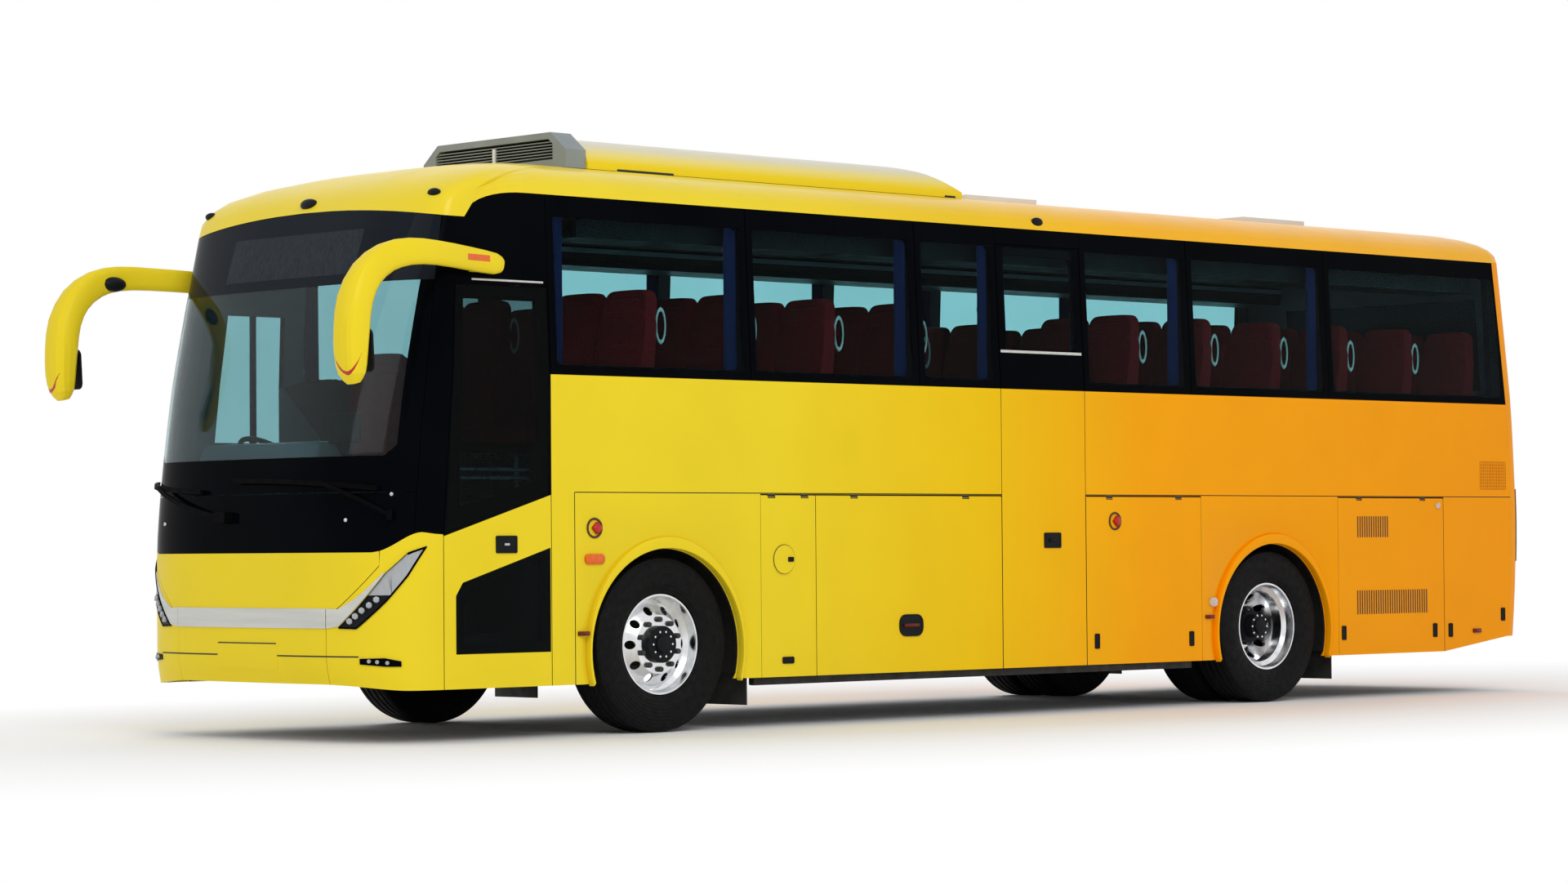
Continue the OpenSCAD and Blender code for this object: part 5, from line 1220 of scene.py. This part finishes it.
# %% Inside
dress("dashboard", dash_plastic)
dress("steering_wheel", dark_plastic)
racks = dress("parcel_racks", dark_plastic)
low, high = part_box("parcel_racks")
TRAY_TOP, TRAY_UP = 2.93, 0.13
pick(racks, lambda point: point.co.z < TRAY_TOP, "VERT")
bpy.ops.transform.translate(value=(0, 0, TRAY_UP))
done()
fit_blocks("rack_edges", "body", dash_plastic, 0.002,
           *[(((low.x + high.x) / 2, side * 0.688, low.z + TRAY_UP + 0.10), (high.x - low.x, 0.008, 0.03))
             for side in BOTH])
hood = blocks(((4.72, -0.38, 1.665), (0.24, 1.20, 0.13)))
pick(hood, lambda face: face.normal.z > 0.9)
bpy.ops.transform.resize(value=(0.6, 0.94, 1), center_override=(4.75, -0.38, 1.73))
done()
hand_over(soften(hood, 0.035, 4), "dash_hood", "body", dash_plastic)
stand = blocks(((4.70, 0.32, 1.80), (0.04, 0.27, 0.17)), ((4.68, 0.32, 1.655), (0.05, 0.05, 0.16)))
inset(stand, lambda face: face.normal.x > 0.9 and face.area > 0.02, (0.012, -0.004))
hand_over(soften(stand, 0.006), "dash_screen", "body", dark_plastic)
fit_blocks("driver_window_bar", "body", dark_plastic, 0.004, ((AXLE + 1.20, -1.226, 2.145), (0.034, 0.03, 0.88)))
for deck in ("floor_deck", "luggage_bay"):
    dress(deck, floor_vinyl)
for arm in ("front_door_arm", "mid_door_arm"):
    dress(arm, steel)
print("rack trays raised by", TRAY_UP)

# %% Below
low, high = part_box("luggage_bay")
RAIL_LOW = 0.255
fit_blocks("bay_rails", "body", chassis_black, 0.008,
           *[(((low.x + high.x) / 2, side * (high.y - 0.05), (low.z + RAIL_LOW) / 2),
              (high.x - low.x, 0.05, low.z - RAIL_LOW)) for side in BOTH])
print("bay:", [round(v, 3) for v in (*low, *high)])
for below in ("underframe", "wheel_housings", "engine_block", "front_axle", "rear_axle"):
    dress(below, chassis_black)

# %% [markdown]
# ## Floor and light
# The coach stands on a plain pale floor. A pale sky gives most of the light, and three broad soft lights model the
# shapes. The sky and the far floor are white where the camera, a mirror or a pane looks at them; the floor near the
# coach is plain, so that it keeps the shadow.

# %% Floor
ground = begin("plane", size=240, location=(0, 0, 0))
ground.name = "studio_floor"
floor_finish = surface("studio_floor", (0.90, 0.90, 0.90), (0.93, 0.93, 0.93), 4.0, (0.8, 0.9))


def looked_at(holder):
    path = node(holder, "ShaderNodeLightPath")
    seen = path.outputs["Is Camera Ray"]
    for ray in ("Is Glossy Ray", "Is Transmission Ray"):
        seen = calc(holder, "MAXIMUM", seen, path.outputs[ray])
    return seen


away = node(floor_finish, "ShaderNodeVectorMath", operation="LENGTH")
wire(floor_finish, coordinates(floor_finish, (0.42, 1, 1)), away.inputs[0])
far = node(floor_finish, "ShaderNodeMapRange")
dial(far, From_Min=2.3, From_Max=5.5)
wire(floor_finish, away.outputs["Value"], far.inputs["Value"])
white_part = calc(floor_finish, "MULTIPLY", far.outputs["Result"], looked_at(floor_finish))
white = node(floor_finish, "ShaderNodeEmission")
blend = node(floor_finish, "ShaderNodeMixShader")
wire(floor_finish, white_part, blend.inputs["Fac"])
wire(floor_finish, floor_finish.node_tree.nodes["Principled BSDF"].outputs["BSDF"], blend.inputs[1])
wire(floor_finish, white.outputs["Emission"], blend.inputs[2])
wire(floor_finish, blend.outputs["Shader"], floor_finish.node_tree.nodes["Material Output"].inputs["Surface"])
ground.data.materials.append(floor_finish)
print("floor:", [round(v) for v in ground.dimensions])


# %% Lights and sky
def softbox(name, place, aim, size, power):
    lamp = bpy.data.lights.new(name, "AREA")
    lamp.shape = "RECTANGLE"
    lamp.size, lamp.size_y = size
    lamp.energy = power
    holder = bpy.data.objects.new(name, lamp)
    bpy.context.collection.objects.link(holder)
    holder.location = place
    holder.rotation_euler = (Vector(aim) - Vector(place)).to_track_quat("-Z", "Y").to_euler()
    return holder


softbox("key_light", (10, 16, 13), (1, 0, 1.5), (14, 9), 1500)
softbox("nose_light", (20, -4, 9), (4, 0, 1.5), (9, 7), 260)
far_light = softbox("far_light", (-8, -16, 12), (0, 0, 2), (14, 8), 1200)
far_light.visible_glossy = False

sky = bpy.data.worlds.new("studio_sky")
bpy.context.scene.world = sky
sky.use_nodes = True
backdrop = sky.node_tree.nodes["Background"]
level = node(sky, "ShaderNodeMapRange")
dial(level, To_Min=0.62, To_Max=1.0)
wire(sky, looked_at(sky), level.inputs["Value"])
wire(sky, level.outputs["Result"], backdrop.inputs["Strength"])
dial(backdrop, Color=(1, 1, 1, 1))
bpy.context.scene.view_settings.view_transform = "Standard"
print("lights:", len(bpy.data.lights))
